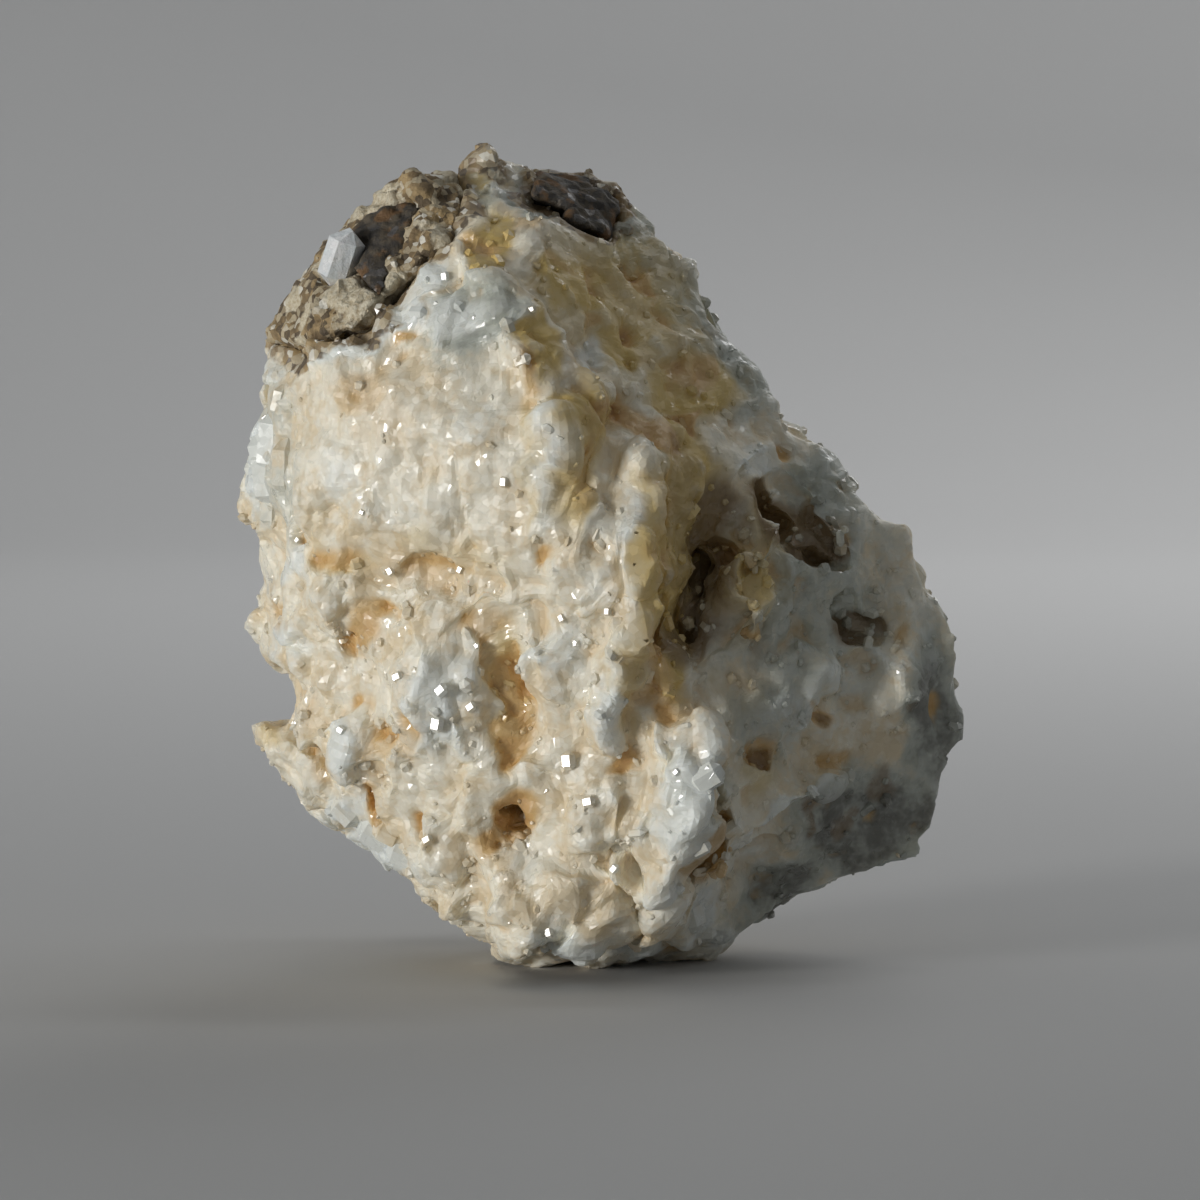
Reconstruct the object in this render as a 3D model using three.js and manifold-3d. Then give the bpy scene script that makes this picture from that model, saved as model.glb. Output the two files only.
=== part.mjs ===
// Anglesite specimen: a hand-sized wedge of intergrown lead sulphate crystals that stands on a small flat break.
// A remnant of the ore that it weathered from, brown gossan with two grains of galena, caps its left shoulder and
// its crest.
// Millimetres, +Z up, +X to the right and -Y towards the viewer. The origin is under the middle of the specimen.
import * as THREE from "three";
import { ConvexGeometry } from "three/addons/geometries/ConvexGeometry.js";
import { mergeVertices } from "three/addons/utils/BufferGeometryUtils.js";
import Module from "manifold-3d";

const wasm = await Module();
wasm.setup();

// ---- driving dimensions ----
const FRONT_DEPTH = 20.5; // from the widest section to the foremost face
const BACK_DEPTH = 20; // from the widest section to the rearmost face
const GAP = 0.3; // clearance between pieces that touch
const FINEST = 0.34; // relief finer than this is left out
const SLIVER = 0.05; // edges shorter than this are closed after the cuts
const BLOCKINESS = 2.9; // exponent of the front-to-back section: 2 is an ellipse, more is squarer
const STEPS_REACH = 0.5; // how far the small steps of the outline run from the rim, as a share of the depth
const RIM_SHARE = 0.56; // share of the surface that lies in front of the widest section
const BODY_DETAIL = 11; // subdivisions of the icosahedron that the mass is drawn from

// The widest section seen from the front, [x, z], clockwise from the peak. What lies under z = 0 is broken off flat.
const OUTLINE = [
  [-9.4, 60.3], [-7.6, 60.0], [-6.0, 57.3], [-1.8, 57.1], [1.9, 56.5], [3.5, 54.4], [4.2, 52.0],
  [5.2, 51.1], [7.2, 50.8], [7.5, 49.6], [7.0, 48.0], [9.0, 44.9], [11.4, 41.8], [13.8, 38.2],
  [16.4, 34.8], [19.8, 32.4],
  [22.5, 31.6], [23.1, 29.7], [22.6, 27.8], [24.9, 26.0], [26.5, 23.8], [26.2, 20.4], [25.8, 17.2],
  [23.9, 14.0], [23.6, 9.6], [22.5, 7.3], [18.3, 6.4], [14.6, 4.7], [11.8, 3.2], [9.9, -0.6],
  [6.3, -0.9], [1.8, -1.0], [-3.6, -0.9], [-8.2, 1.2], [-9.3, 3.0], [-12.8, 5.0], [-14.4, 7.2],
  [-18.6, 9.4], [-21.9, 13.0], [-22.6, 16.4], [-21.9, 19.9], [-24.2, 22.4], [-24.5, 26.4], [-24.2, 29.3],
  [-25.4, 33.4], [-25.5, 37.0], [-24.9, 39.4], [-24.3, 41.6], [-24.5, 44.8], [-22.6, 46.6], [-21.2, 48.0],
  [-21.2, 51.0], [-18.7, 53.0], [-17.1, 55.4], [-14.5, 57.8], [-11.6, 58.5], [-10.3, 59.7],
];
const CENTRE = { x: 0, z: 29 };

// ---- chance, noise and cells: the same on every run ----
function seededRandom(seed) {
  let state = seed;
  return () => {
    state = (Math.imul(state, 1664525) + 1013904223) >>> 0;
    return state / 4294967296;
  };
}

function hash(i, j, k, salt) {
  let h = Math.imul(i, 374761393) ^ Math.imul(j, 668265263) ^ Math.imul(k, 2147483647 - 58) ^ salt;
  h = Math.imul(h ^ (h >>> 13), 1274126177);
  h = Math.imul(h ^ (h >>> 16), 668265263);
  return ((h ^ (h >>> 15)) >>> 0) / 4294967296;
}

// The jittered cell that a point falls in, as the blocky break of a crystalline mass has them.
function cellAt(point, size) {
  const base = point.clone().divideScalar(size).floor();
  const found = { distance: Infinity, centre: new THREE.Vector3(), tilt: new THREE.Vector3(), lift: 0 };
  for (let i = -1; i <= 1; i++)
    for (let j = -1; j <= 1; j++)
      for (let k = -1; k <= 1; k++) {
        const at = [base.x + i, base.y + j, base.z + k];
        const draw = (salt) => hash(...at, salt);
        const centre = new THREE.Vector3(at[0] + draw(1), at[1] + draw(2), at[2] + draw(3)).multiplyScalar(size);
        const distance = centre.distanceTo(point);
        if (distance > found.distance) continue;
        const tilt = new THREE.Vector3(draw(4) - 0.5, draw(5) - 0.5, draw(6) - 0.5);
        Object.assign(found, { distance, centre, tilt, lift: draw(7) - 0.5 });
      }
  return found;
}

// How far a point is pushed in or out so that each cell becomes a flat, tilted face.
function brokenFaces(point, size, height) {
  const cell = cellAt(point, size);
  const across = point.clone().sub(cell.centre);
  return height * (cell.lift + (1.6 * across.dot(cell.tilt)) / size);
}

// ---- the mass: outline, front and back ----
const outlineRays = OUTLINE.map(([x, z]) => {
  const dx = x - CENTRE.x;
  const dz = z - CENTRE.z;
  return { angle: Math.atan2(dz, dx), radius: Math.hypot(dx, dz) };
}).sort((a, b) => a.angle - b.angle);

// Distance from the centre to the outline in one direction, along the straight edge between two of its points.
function outlineRadius(direction) {
  const count = outlineRays.length;
  const angle = Math.atan2(Math.sin(direction), Math.cos(direction));
  let next = outlineRays.findIndex((ray) => ray.angle > angle);
  if (next < 0) next = 0;
  const a = outlineRays[(next + count - 1) % count];
  const b = outlineRays[next];
  const turn = (to, from) => THREE.MathUtils.euclideanModulo(to - from, 2 * Math.PI);
  const weight = a.radius * Math.sin(turn(angle, a.angle)) + b.radius * Math.sin(turn(b.angle, angle));
  return (a.radius * b.radius * Math.sin(turn(b.angle, a.angle))) / weight;
}

// The outline without its small steps, for the sides: the average over an arc.
function easedRadius(angle) {
  const ARC = [-0.3, -0.15, 0, 0.15, 0.3];
  return ARC.reduce((sum, turn) => sum + outlineRadius(angle + turn), 0) / ARC.length;
}

// Section from the middle of a face (0, 1) to the rim (1, 0), walked at an even pace.
const sectionPoints = Array.from({ length: 25 }, (_, i) => {
  const t = (i / 24) * (Math.PI / 2);
  const power = 2 / BLOCKINESS;
  return new THREE.Vector2(Math.sin(t) ** power, Math.max(0, Math.cos(t)) ** power);
});
const section = new THREE.SplineCurve(sectionPoints);

// Faces are planes: a height at one point and its slope to the right and upwards.
const FRONT_FACES = [
  { at: [-4, 40], height: 18.2, slope: [0.28, -0.02] }, // the broad pale face on the left
  { at: [3, 28], height: 20.5, slope: [-0.95, 0.0] }, // the shaded face that falls away to the right
  { at: [-6, 46], height: 17.0, slope: [-0.82, -0.6] }, // the slope up to the crest, right of the arris
  { at: [-12, 48], height: 14.6, slope: [0.3, -0.5] }, // the ore's shoulder
  { at: [0, 12], height: 20.3, slope: [0.02, 0.14] }, // the foot of the front
  { at: [17, 12], height: 6.6, slope: [-0.9, 0.95] }, // the dark facet low on the right
];
const BACK_FACES = [
  { at: [-6, 34], height: 20.5, slope: [0.22, -0.1] },
  { at: [6, 30], height: 19.5, slope: [-0.5, 0.05] },
  { at: [-6, 44], height: 16.5, slope: [0.05, -0.6] },
  { at: [4, 14], height: 18.5, slope: [-0.1, 0.35] },
];

// Swells and hollows: where, half-widths, turn in degrees, and how far they rise (or sink, if negative).
const FRONT_SWELLS = [
  { at: [-0.6, 36.4], half: [2.6, 7.0], turn: -4, rise: -3.2 }, // trough between the two ridges
  { at: [6.9, 28.5], half: [2.6, 7.8], turn: -24, rise: -6.4 }, // deep shadow beside the main ridge
  { at: [13.2, 17.5], half: [5.2, 5.0], turn: 20, rise: 1.5 }, // swell low in the shaded face
  { at: [5.6, 13.0], half: [4.0, 7.4], turn: -8, rise: 2.2 }, // under the pale lobe on the right
  { at: [-4.2, 5.4], half: [5.4, 4.4], turn: 0, rise: 2.6 }, // the foot
  { at: [3.4, 5.0], half: [6.0, 5.0], turn: 0, rise: 3.6 },
  { at: [-11.5, 28.6], half: [8.0, 2.0], turn: 0, rise: -2.0 }, // undercut below the broad face
  { at: [-6.2, 20.4], half: [1.9, 5.8], turn: 6, rise: -3.4 }, // gully between the pale lobes
  { at: [-16.8, 25.0], half: [1.7, 2.8], turn: -35, rise: -2.0 },
  { at: [-16.6, 12.4], half: [1.5, 2.0], turn: 0, rise: -1.8 },
  { at: [-6.1, 11.4], half: [1.9, 2.8], turn: -38, rise: -2.8 },
  { at: [10.4, 28.4], half: [3.6, 4.8], turn: 0, rise: 1.6 }, // the boss between the recess and the pits
  { at: [9.6, 6.6], half: [1.9, 5.0], turn: 34, rise: -3.0 }, // furrow right of the lobe
  { at: [-13.4, 51.5], half: [3.0, 4.0], turn: -40, rise: -1.6 }, // the ore lies in a dip
];
const BACK_SWELLS = [
  { at: [-12, 26], half: [6, 8], turn: 20, rise: 2.0 },
  { at: [3, 36], half: [5, 7], turn: -30, rise: 1.8 },
  { at: [9, 20], half: [6, 5], turn: 10, rise: 2.0 },
  { at: [-3, 18], half: [2.6, 7], turn: 24, rise: -4.0 },
  { at: [-8, 38], half: [2.6, 5], turn: -50, rise: -3.4 },
  { at: [15, 28], half: [3.0, 4], turn: 0, rise: -2.8 },
  { at: [-15, 14], half: [3.6, 3], turn: 0, rise: -2.4 },
];

// Large breaks across the sides and the back: which way each one faces, and how far it lies from the centre.
const BREAKS = [
  { facing: [0.74, 0.66, 0.1], reach: 19.8 },
  { facing: [-0.76, 0.64, -0.12], reach: 19.6 },
  { facing: [0.2, 0.78, 0.6], reach: 20.6 },
  { facing: [-0.5, 0.6, 0.62], reach: 22.6 },
  { facing: [0.12, 0.8, -0.58], reach: 21.4 },
  { facing: [-0.1, 1, 0.12], reach: 17.6 },
  { facing: [0.4, -0.76, -0.5], reach: 28.6 },
  { facing: [-0.5, -0.6, -0.62], reach: 27.4 },
];

function swellHeight(swells, x, z) {
  let sum = 0;
  for (const { at, half, turn, rise } of swells) {
    const angle = THREE.MathUtils.degToRad(turn);
    const dx = x - at[0];
    const dz = z - at[1];
    const u = (dx * Math.cos(angle) + dz * Math.sin(angle)) / half[0];
    const v = (dz * Math.cos(angle) - dx * Math.sin(angle)) / half[1];
    const fall = 1 - Math.min(1, u * u + v * v);
    sum += rise * fall * Math.sqrt(fall);
  }
  return sum;
}

// Height of a side above the widest section: the lowest of its planes, with the arrises eased, plus its swells.
function sideHeight(faces, swells, x, z) {
  const EASE = 0.7;
  const heights = faces.map(({ at, height, slope }) => height + slope[0] * (x - at[0]) + slope[1] * (z - at[1]));
  const lowest = Math.min(...heights);
  const eased = lowest - EASE * Math.log(heights.reduce((sum, h) => sum + Math.exp((lowest - h) / EASE), 0));
  return eased + swellHeight(swells, x, z);
}

// The widest section isn't flat: it wanders back and forth round the specimen.
function rimShift(x, z) {
  return 1.8 * Math.sin(x / 7 + 1) + 1.5 * Math.sin(z / 8 - 0.6) - 0.06 * x;
}

// A point of the surface for one direction of the unit sphere.
function surfacePoint(direction) {
  const angle = Math.atan2(direction.z, direction.x);
  const fromFront = Math.acos(THREE.MathUtils.clamp(-direction.y, -1, 1)) / Math.PI;
  const front = fromFront < RIM_SHARE;
  const pace = front ? fromFront / RIM_SHARE : (1 - fromFront) / (1 - RIM_SHARE);
  const { x: reach, y: depth } = section.getPointAt(Math.min(1, pace));
  const nearRim = Math.max(0, 1 - depth / STEPS_REACH);
  const radius = THREE.MathUtils.lerp(easedRadius(angle), outlineRadius(angle), nearRim) * reach;
  const x = CENTRE.x + radius * Math.cos(angle);
  const z = CENTRE.z + radius * Math.sin(angle);
  const height = front ? sideHeight(FRONT_FACES, FRONT_SWELLS, x, z) : sideHeight(BACK_FACES, BACK_SWELLS, x, z);
  const limit = front ? FRONT_DEPTH : BACK_DEPTH;
  const y = (front ? -1 : 1) * Math.min(height, limit + 1.5) * depth + rimShift(x, z);
  return new THREE.Vector3(x, y, z);
}

// ---- solids ----
function solidOf(geometry) {
  const bare = new THREE.BufferGeometry().setAttribute("position", geometry.getAttribute("position"));
  if (geometry.index) bare.setIndex(geometry.index);
  const merged = mergeVertices(bare, 1e-4);
  const vertProperties = merged.getAttribute("position").array;
  const triVerts = new Uint32Array(merged.index.array);
  return new wasm.Manifold(new wasm.Mesh({ numProp: 3, vertProperties, triVerts }));
}

function geometryOf(solid) {
  const mesh = solid.getMesh();
  return new THREE.BufferGeometry()
    .setAttribute("position", new THREE.BufferAttribute(mesh.vertProperties, 3))
    .setIndex(new THREE.BufferAttribute(mesh.triVerts, 1));
}

// Pulls a place, seen from the centre, back to the breaks that it lies beyond.
function broken(place) {
  for (const { facing, reach } of BREAKS) {
    const normal = new THREE.Vector3(...facing).normalize();
    const beyond = place.dot(normal) / reach;
    if (beyond > 1) place.divideScalar(beyond);
  }
  return place;
}

// The whole specimen before its ore and cavities are cut: one closed skin.
function wholeForm() {
  const ball = new THREE.IcosahedronGeometry(1, BODY_DETAIL);
  ball.deleteAttribute("normal");
  ball.deleteAttribute("uv");
  const skin = mergeVertices(ball, 1e-5);
  const places = skin.getAttribute("position");
  const direction = new THREE.Vector3();
  const middle = new THREE.Vector3(CENTRE.x, 0, CENTRE.z);
  for (let i = 0; i < places.count; i++) {
    direction.fromBufferAttribute(places, i).normalize();
    const point = broken(surfacePoint(direction).sub(middle)).add(middle);
    const outward = point.clone().sub(middle).normalize();
    const behind = THREE.MathUtils.smoothstep(point.y, 3, 9);
    const relief = brokenFaces(point, 6.8, 1.1) + brokenFaces(point, 3.6, 0.5);
    point.addScaledVector(outward, relief + behind * brokenFaces(point, 13, 2.4));
    places.setXYZ(i, point.x, point.y, point.z);
  }
  return solidOf(skin);
}

// A rough lump: a ball stretched to three half-sizes, turned, with a granular or pitted skin. The seat of a lump is
// the same skin moved outwards by the clearance.
function lump({ at, half, turn = [0, 0, 0], detail = 3, grain = 2.5, roughness = 0.3, clearance = 0 }) {
  const ball = new THREE.IcosahedronGeometry(1, detail);
  ball.deleteAttribute("normal");
  ball.deleteAttribute("uv");
  const skin = mergeVertices(ball, 1e-5);
  const places = skin.getAttribute("position");
  const rotation = new THREE.Matrix4().makeRotationFromEuler(new THREE.Euler(...turn.map(THREE.MathUtils.degToRad)));
  const stretch = new THREE.Vector3(...half);
  for (let i = 0; i < places.count; i++) {
    const direction = new THREE.Vector3().fromBufferAttribute(places, i);
    const outward = direction.clone().divide(stretch).applyMatrix4(rotation).normalize();
    const point = direction.multiply(stretch).applyMatrix4(rotation).add(new THREE.Vector3(...at));
    point.addScaledVector(outward, brokenFaces(point, grain, roughness) + clearance);
    places.setXYZ(i, point.x, point.y, point.z);
  }
  return solidOf(skin);
}

// An anglesite crystal as it breaks: a flattened prism with a chisel point at each end and no two corners alike.
function crystal({ at, axis, face = [0, -1, 0], length, width, thick, wear = 0.22 }) {
  const along = new THREE.Vector3(...axis).normalize();
  const out = new THREE.Vector3(...face);
  out.addScaledVector(along, -out.dot(along)).normalize();
  const side = new THREE.Vector3().crossVectors(along, out);
  const random = seededRandom(Math.round(1000 * (at[0] + 7 * at[2] + 90)));
  const worn = (size) => size * (1 - wear * random() * 2);
  const points = [];
  const corner = (u, v, w) =>
    points.push(new THREE.Vector3(...at).addScaledVector(side, u).addScaledVector(out, v).addScaledVector(along, w));
  for (const end of [-1, 1]) {
    for (const s of [-1, 1]) {
      const shoulder = end * (worn(length) / 2 - width * 0.3);
      corner(s * 0.5 * worn(width), 0, shoulder);
      corner(s * 0.3 * worn(width), 0.5 * worn(thick), shoulder);
      corner(s * 0.3 * worn(width), -0.5 * worn(thick), shoulder);
    }
    corner(0.3 * (random() - 0.5) * width, 0.25 * worn(thick), (end * worn(length)) / 2);
    corner(0.3 * (random() - 0.5) * width, -0.2 * worn(thick), (end * length) / 2);
  }
  return solidOf(new ConvexGeometry(points));
}

// A point on the front or back skin at (x, z), a little under the surface.
function onSkin(side, x, z, sink = 0) {
  const angle = Math.atan2(z - CENTRE.z, x - CENTRE.x);
  const reach = Math.min(1, Math.hypot(x - CENTRE.x, z - CENTRE.z) / outlineRadius(angle));
  const depth = (1 - reach ** BLOCKINESS) ** (1 / BLOCKINESS);
  const [faces, swells, sign] = side === "front" ? [FRONT_FACES, FRONT_SWELLS, -1] : [BACK_FACES, BACK_SWELLS, 1];
  return [x, sign * (sideHeight(faces, swells, x, z) * depth - sink) + rimShift(x, z), z];
}

// Rounded lobes of finer crystals that swell out of the front.
function lobes() {
  const front = (x, z, sink) => onSkin("front", x, z, sink);
  return [
    { at: front(-11.7, 20.4, 1.1), half: [3.4, 3.0, 5.4], turn: [0, -6, 0], detail: 2 },
    { at: front(-3.0, 22.8, 0.9), half: [2.8, 2.6, 3.4], turn: [0, 24, 0] },
    { at: front(5.4, 13.0, 0.5), half: [3.1, 3.2, 6.2], turn: [0, 8, 0], detail: 2 },
    { at: front(-0.7, 12.8, 1.0), half: [2.9, 2.6, 4.0], turn: [0, 10, 0] },
    { at: front(-5.4, 5.6, 1.2), half: [3.0, 2.8, 3.8], turn: [0, 14, 0] },
    { at: front(-0.8, 4.8, 1.2), half: [2.6, 2.6, 3.6], turn: [0, -10, 0] },
    { at: front(-10.6, 10.2, 1.4), half: [2.6, 2.4, 3.6], turn: [0, -14, 0] },
    { at: front(-17.0, 16.4, 1.6), half: [3.2, 2.6, 3.6], turn: [0, 16, 0] },
    { at: front(10.4, 28.0, 1.0), half: [2.9, 2.8, 4.0], turn: [0, -10, 0] },
    { at: front(20.4, 20.4, 1.0), half: [3.4, 2.8, 3.4], turn: [0, 30, 0] },
    { at: front(14.6, 21.6, 1.4), half: [3.0, 2.6, 2.8], turn: [0, -30, 0] },
  ].map((lobe) => lump({ detail: 1, grain: 2.6, roughness: 0.7, ...lobe }));
}

// Crystals and blades that stand out of the mass, by hand.
function standingCrystals() {
  const front = (x, z, sink) => onSkin("front", x, z, sink);
  return [
    // the edge of the broad face: three blades overlap, seen on their side
    { at: front(-4.6, 43.0, 1.5), axis: [-0.22, 0.05, 1], face: [0.5, -1, 0], length: 7.0, width: 3.2, thick: 4.8 },
    { at: front(-4.1, 38.4, 1.4), axis: [0.0, 0.05, 1], face: [0.5, -1, 0], length: 8.0, width: 3.4, thick: 4.8 },
    { at: front(-4.4, 33.6, 1.3), axis: [0.06, 0, 1], face: [0.4, -1, 0], length: 6.4, width: 3.4, thick: 4.6 },
    // the main ridge, in steps down to the left
    { at: front(2.5, 35.4, 0.5), axis: [0.08, 0, 1], face: [0.75, -1, 0], length: 7.4, width: 3.0, thick: 5.8 },
    { at: front(2.3, 30.4, 0.6), axis: [-0.06, 0, 1], face: [0.7, -1, 0], length: 8.4, width: 3.8, thick: 5.8 },
    { at: front(2.6, 25.6, 0.7), axis: [0.16, -0.05, 1], face: [0.6, -1, 0], length: 7.2, width: 3.8, thick: 5.4 },
    { at: front(0.9, 20.0, 0.6), axis: [0.3, 0, 1], face: [0.5, -1, 0], length: 7.6, width: 3.4, thick: 5.0 },
    // the slab on the pale lobe on the right and the clear tip at its shoulder
    { at: front(4.6, 15.6, 0.2), axis: [-0.1, 0.04, 1], face: [0.1, -1, 0], length: 7.6, width: 4.4, thick: 4.0 },
    { at: front(7.4, 15.9, 0.1), axis: [1, -0.25, 0.1], face: [0, -1, 0.4], length: 3.6, width: 2.4, thick: 2.4 },
    // the blocky foot
    { at: front(3.6, 3.4, 0.6), axis: [0.7, 0.1, 1], face: [0, -1, -0.2], length: 5.0, width: 2.8, thick: 3.0 },
    { at: front(7.0, 3.6, 0.6), axis: [0.5, 0.1, 1], face: [0, -1, -0.2], length: 6.0, width: 2.8, thick: 3.2 },
    { at: front(-6.6, 3.2, 0.4), axis: [-0.5, 0.1, 1], face: [-0.2, -1, -0.2], length: 4.6, width: 3.4, thick: 3.2 },
    // small blades on the left, above and below the hook
    { at: front(-19.4, 21.6, 0.7), axis: [0.1, 0.3, 1], face: [-0.5, -1, 0], length: 5.6, width: 3.2, thick: 3.0 },
    { at: front(-18.4, 10.8, 1.0), axis: [1, 0, -0.7], face: [-0.2, -1, -0.2], length: 5.2, width: 3.0, thick: 3.0 },
    { at: front(-14.0, 9.0, 0.8), axis: [1, 0, -0.5], face: [-0.2, -1, -0.2], length: 4.6, width: 3.0, thick: 2.8 },
    // glassy crystals on the left edge
    { at: [-24.2, -2.2, 37.4], axis: [0.1, 0.1, 1], face: [-1, -0.6, 0], length: 6.6, width: 3.2, thick: 2.8 },
    { at: [-23.4, -4.4, 40.4], axis: [0.25, 0.1, 1], face: [-1, -0.8, 0], length: 5.0, width: 2.8, thick: 2.4 },
    { at: [-23.8, -0.6, 33.6], axis: [-0.15, 0.1, 1], face: [-1, -0.4, 0], length: 5.6, width: 2.8, thick: 2.4 },
    // the nib on the right of the crest
    { at: [5.2, -0.6, 49.7], axis: [1, -0.1, 0.22], face: [0, -1, 0.2], length: 5.4, width: 3.0, thick: 3.6 },
    // the thin ridge above the dark facet
    { at: front(11.0, 10.4, 0.5), axis: [1, 0.3, 0.75], face: [0.3, -1, 0.2], length: 5.6, width: 2.4, thick: 2.8 },
    { at: front(15.0, 13.2, 0.6), axis: [1, 0.35, 0.6], face: [0.3, -1, 0.2], length: 6.0, width: 2.4, thick: 2.8 },
  ].map(crystal);
}

// The hook: a thin horn that grew out of the lower left edge.
function hook() {
  const beads = [
    { at: [-20.2, -4.6, 13.6], radius: 2.6 },
    { at: [-22.6, -3.6, 15.5], radius: 2.0 },
    { at: [-24.2, -3.0, 16.6], radius: 1.2 },
  ].map(({ at, radius }) => {
    const places = new THREE.IcosahedronGeometry(radius, 1).translate(...at).getAttribute("position");
    return Array.from({ length: places.count }, (_, i) => new THREE.Vector3().fromBufferAttribute(places, i));
  });
  const links = beads.slice(1).map((bead, i) => solidOf(new ConvexGeometry([...beads[i], ...bead])));
  return wasm.Manifold.union(links);
}

// Small crystals, scattered where the mass is drusy: the low front, the left edge, the back and the foot.
function scatteredCrystals(count) {
  const random = seededRandom(20);
  const between = (low, high) => low + (high - low) * random();
  const middle = new THREE.Vector3(CENTRE.x, 0, CENTRE.z);
  const grown = [];
  while (grown.length < count) {
    const direction = new THREE.Vector3(between(-1, 1), between(-1, 1), between(-1, 1));
    if (direction.length() > 1 || direction.length() < 0.2) continue;
    const place = broken(surfacePoint(direction.normalize()).sub(middle));
    const point = place.clone().add(middle);
    const broadFace = point.y < 0 && point.x < -3 && point.z > 28;
    const ore = point.z > 44 && point.x < 4;
    const rim = Math.abs(point.y - rimShift(point.x, point.z)) < 5;
    if (broadFace || ore || rim || point.z < 3) continue;
    const outward = place.normalize();
    const lean = new THREE.Vector3(between(-1, 1), between(-1, 1), between(-0.4, 1.4));
    const width = between(2.4, 4.6);
    const at = point.addScaledVector(outward, -0.28 * width).toArray();
    const length = width * between(1.1, 1.7);
    const thick = width * between(0.8, 1.1);
    grown.push(crystal({ at, axis: lean.toArray(), face: outward.toArray(), length, width, thick }));
  }
  return grown;
}

// Cavities that are too deep and undercut for the skin to show.
function cavities() {
  const front = (x, z, sink) => onSkin("front", x, z, sink);
  const back = (x, z, sink) => onSkin("back", x, z, sink);
  return [
    // the two large pits high in the shaded face; the upper one has a tail down to the right
    { at: front(12.9, 33.6, 0.7), half: [2.0, 3.4, 2.4], turn: [0, 24, 0] },
    { at: front(14.6, 31.4, 0.8), half: [1.5, 3.2, 1.4], turn: [0, -30, 0] },
    { at: front(16.2, 30.1, 0.9), half: [2.0, 3.2, 1.2], turn: [0, 14, 0] },
    { at: front(18.8, 25.0, 0.7), half: [2.0, 3.0, 1.4], turn: [0, -8, 0] },
    { at: front(17.6, 26.5, 0.5), half: [1.2, 2.4, 1.5], turn: [0, 20, 0] },
    // the recess beside the main ridge
    { at: front(8.6, 32.8, 0.3), half: [0.8, 1.8, 1.5], turn: [0, 30, 0] },
    { at: front(6.6, 28.6, 0.2), half: [1.1, 2.6, 3.0], turn: [0, 16, 0] },
    { at: front(5.8, 25.4, 0.2), half: [1.2, 2.8, 1.9], turn: [0, 4, 0] },
    // the orange-brown pockets of the pale side
    { at: front(-17.5, 24.2, 0.0), half: [0.8, 1.2, 1.3], turn: [0, 30, 0] },
    { at: front(-16.4, 25.9, 0.0), half: [0.8, 1.1, 1.1], turn: [0, 50, 0] },
    { at: front(-16.5, 12.5, 0.0), half: [0.75, 1.9, 1.2], turn: [0, -24, 0] },
    { at: front(-5.9, 12.3, 0.0), half: [0.9, 2.4, 1.7], turn: [0, -10, 0] },
    { at: front(-5.4, 11.0, 0.0), half: [1.2, 2.2, 0.9], turn: [0, 10, 0] },
    { at: front(-7.6, 9.6, 0.0), half: [1.5, 1.6, 0.6], turn: [0, -42, 0] },
    // small ones low in the shaded face
    { at: front(11.2, 15.6, 0.4), half: [1.4, 1.8, 1.0], turn: [0, 0, 0] },
    { at: front(16.2, 18.8, 0.3), half: [1.1, 1.6, 0.9], turn: [0, 20, 0] },
    { at: back(-3, 20, 0.4), half: [1.8, 3.2, 3.0], turn: [0, -24, 0] },
    { at: back(-9, 38, 0.4), half: [2.6, 3.0, 1.6], turn: [0, 30, 0] },
    { at: back(13, 27, 1.4), half: [1.8, 2.6, 2.2], turn: [0, 0, 0] },
    { at: back(6, 10, 0.8), half: [2.2, 2.6, 1.4], turn: [0, 12, 0] },
  ].map((pit) => lump({ detail: 1, grain: 1.5, roughness: 0.5, ...pit }));
}

// A grain of galena: square cleavage blocks that are turned together.
function cleavageBlocks({ at, turn, blocks }, clearance) {
  const rotation = new THREE.Matrix4().makeRotationFromEuler(new THREE.Euler(...turn.map(THREE.MathUtils.degToRad)));
  const cut = blocks.map(({ size, off }) => {
    const block = new THREE.BoxGeometry(...size.map((side) => side + 2 * clearance)).translate(...off);
    return solidOf(block.applyMatrix4(rotation).translate(...at));
  });
  return wasm.Manifold.union(cut);
}

const SHOULDER_GRAIN = {
  at: [-15.3, -10.0, 52.2],
  turn: [14, 34, 10],
  blocks: [
    { size: [2.9, 9.0, 3.4], off: [-0.3, 0, -1.0] },
    { size: [2.3, 8.4, 3.0], off: [0.4, 0, 1.2] },
    { size: [3.6, 6.0, 2.0], off: [-0.2, 1.0, 0.4] },
  ],
};
const CREST_GRAIN = {
  at: [-1.6, -3.0, 55.3],
  turn: [-8, 20, 6],
  blocks: [
    { size: [3.6, 10.0, 3.2], off: [-1.4, -0.4, 0.7] },
    { size: [3.4, 8.4, 3.4], off: [1.3, 0.4, -0.1] },
    { size: [2.2, 12.0, 2.2], off: [0.2, 0.2, 0.2] },
  ],
};

// ---- ore: the space that each remnant fills, and with a clearance the seat that it lies in ----
function oreSpaces(clearance) {
  const shoulder = [
    { at: [-14.6, -2.5, 54.6], half: [4.6, 13.0, 6.2], turn: [0, -8, 0] },
    { at: [-18.8, -3.0, 49.4], half: [6.2, 13.5, 4.2], turn: [0, -30, 0] },
  ].map((part) => lump({ grain: 3, roughness: 0.7, clearance, ...part }));
  return {
    matrix: wasm.Manifold.union(shoulder),
    shoulderGrain: cleavageBlocks(SHOULDER_GRAIN, clearance),
    crestGrain: cleavageBlocks(CREST_GRAIN, clearance),
  };
}

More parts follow.
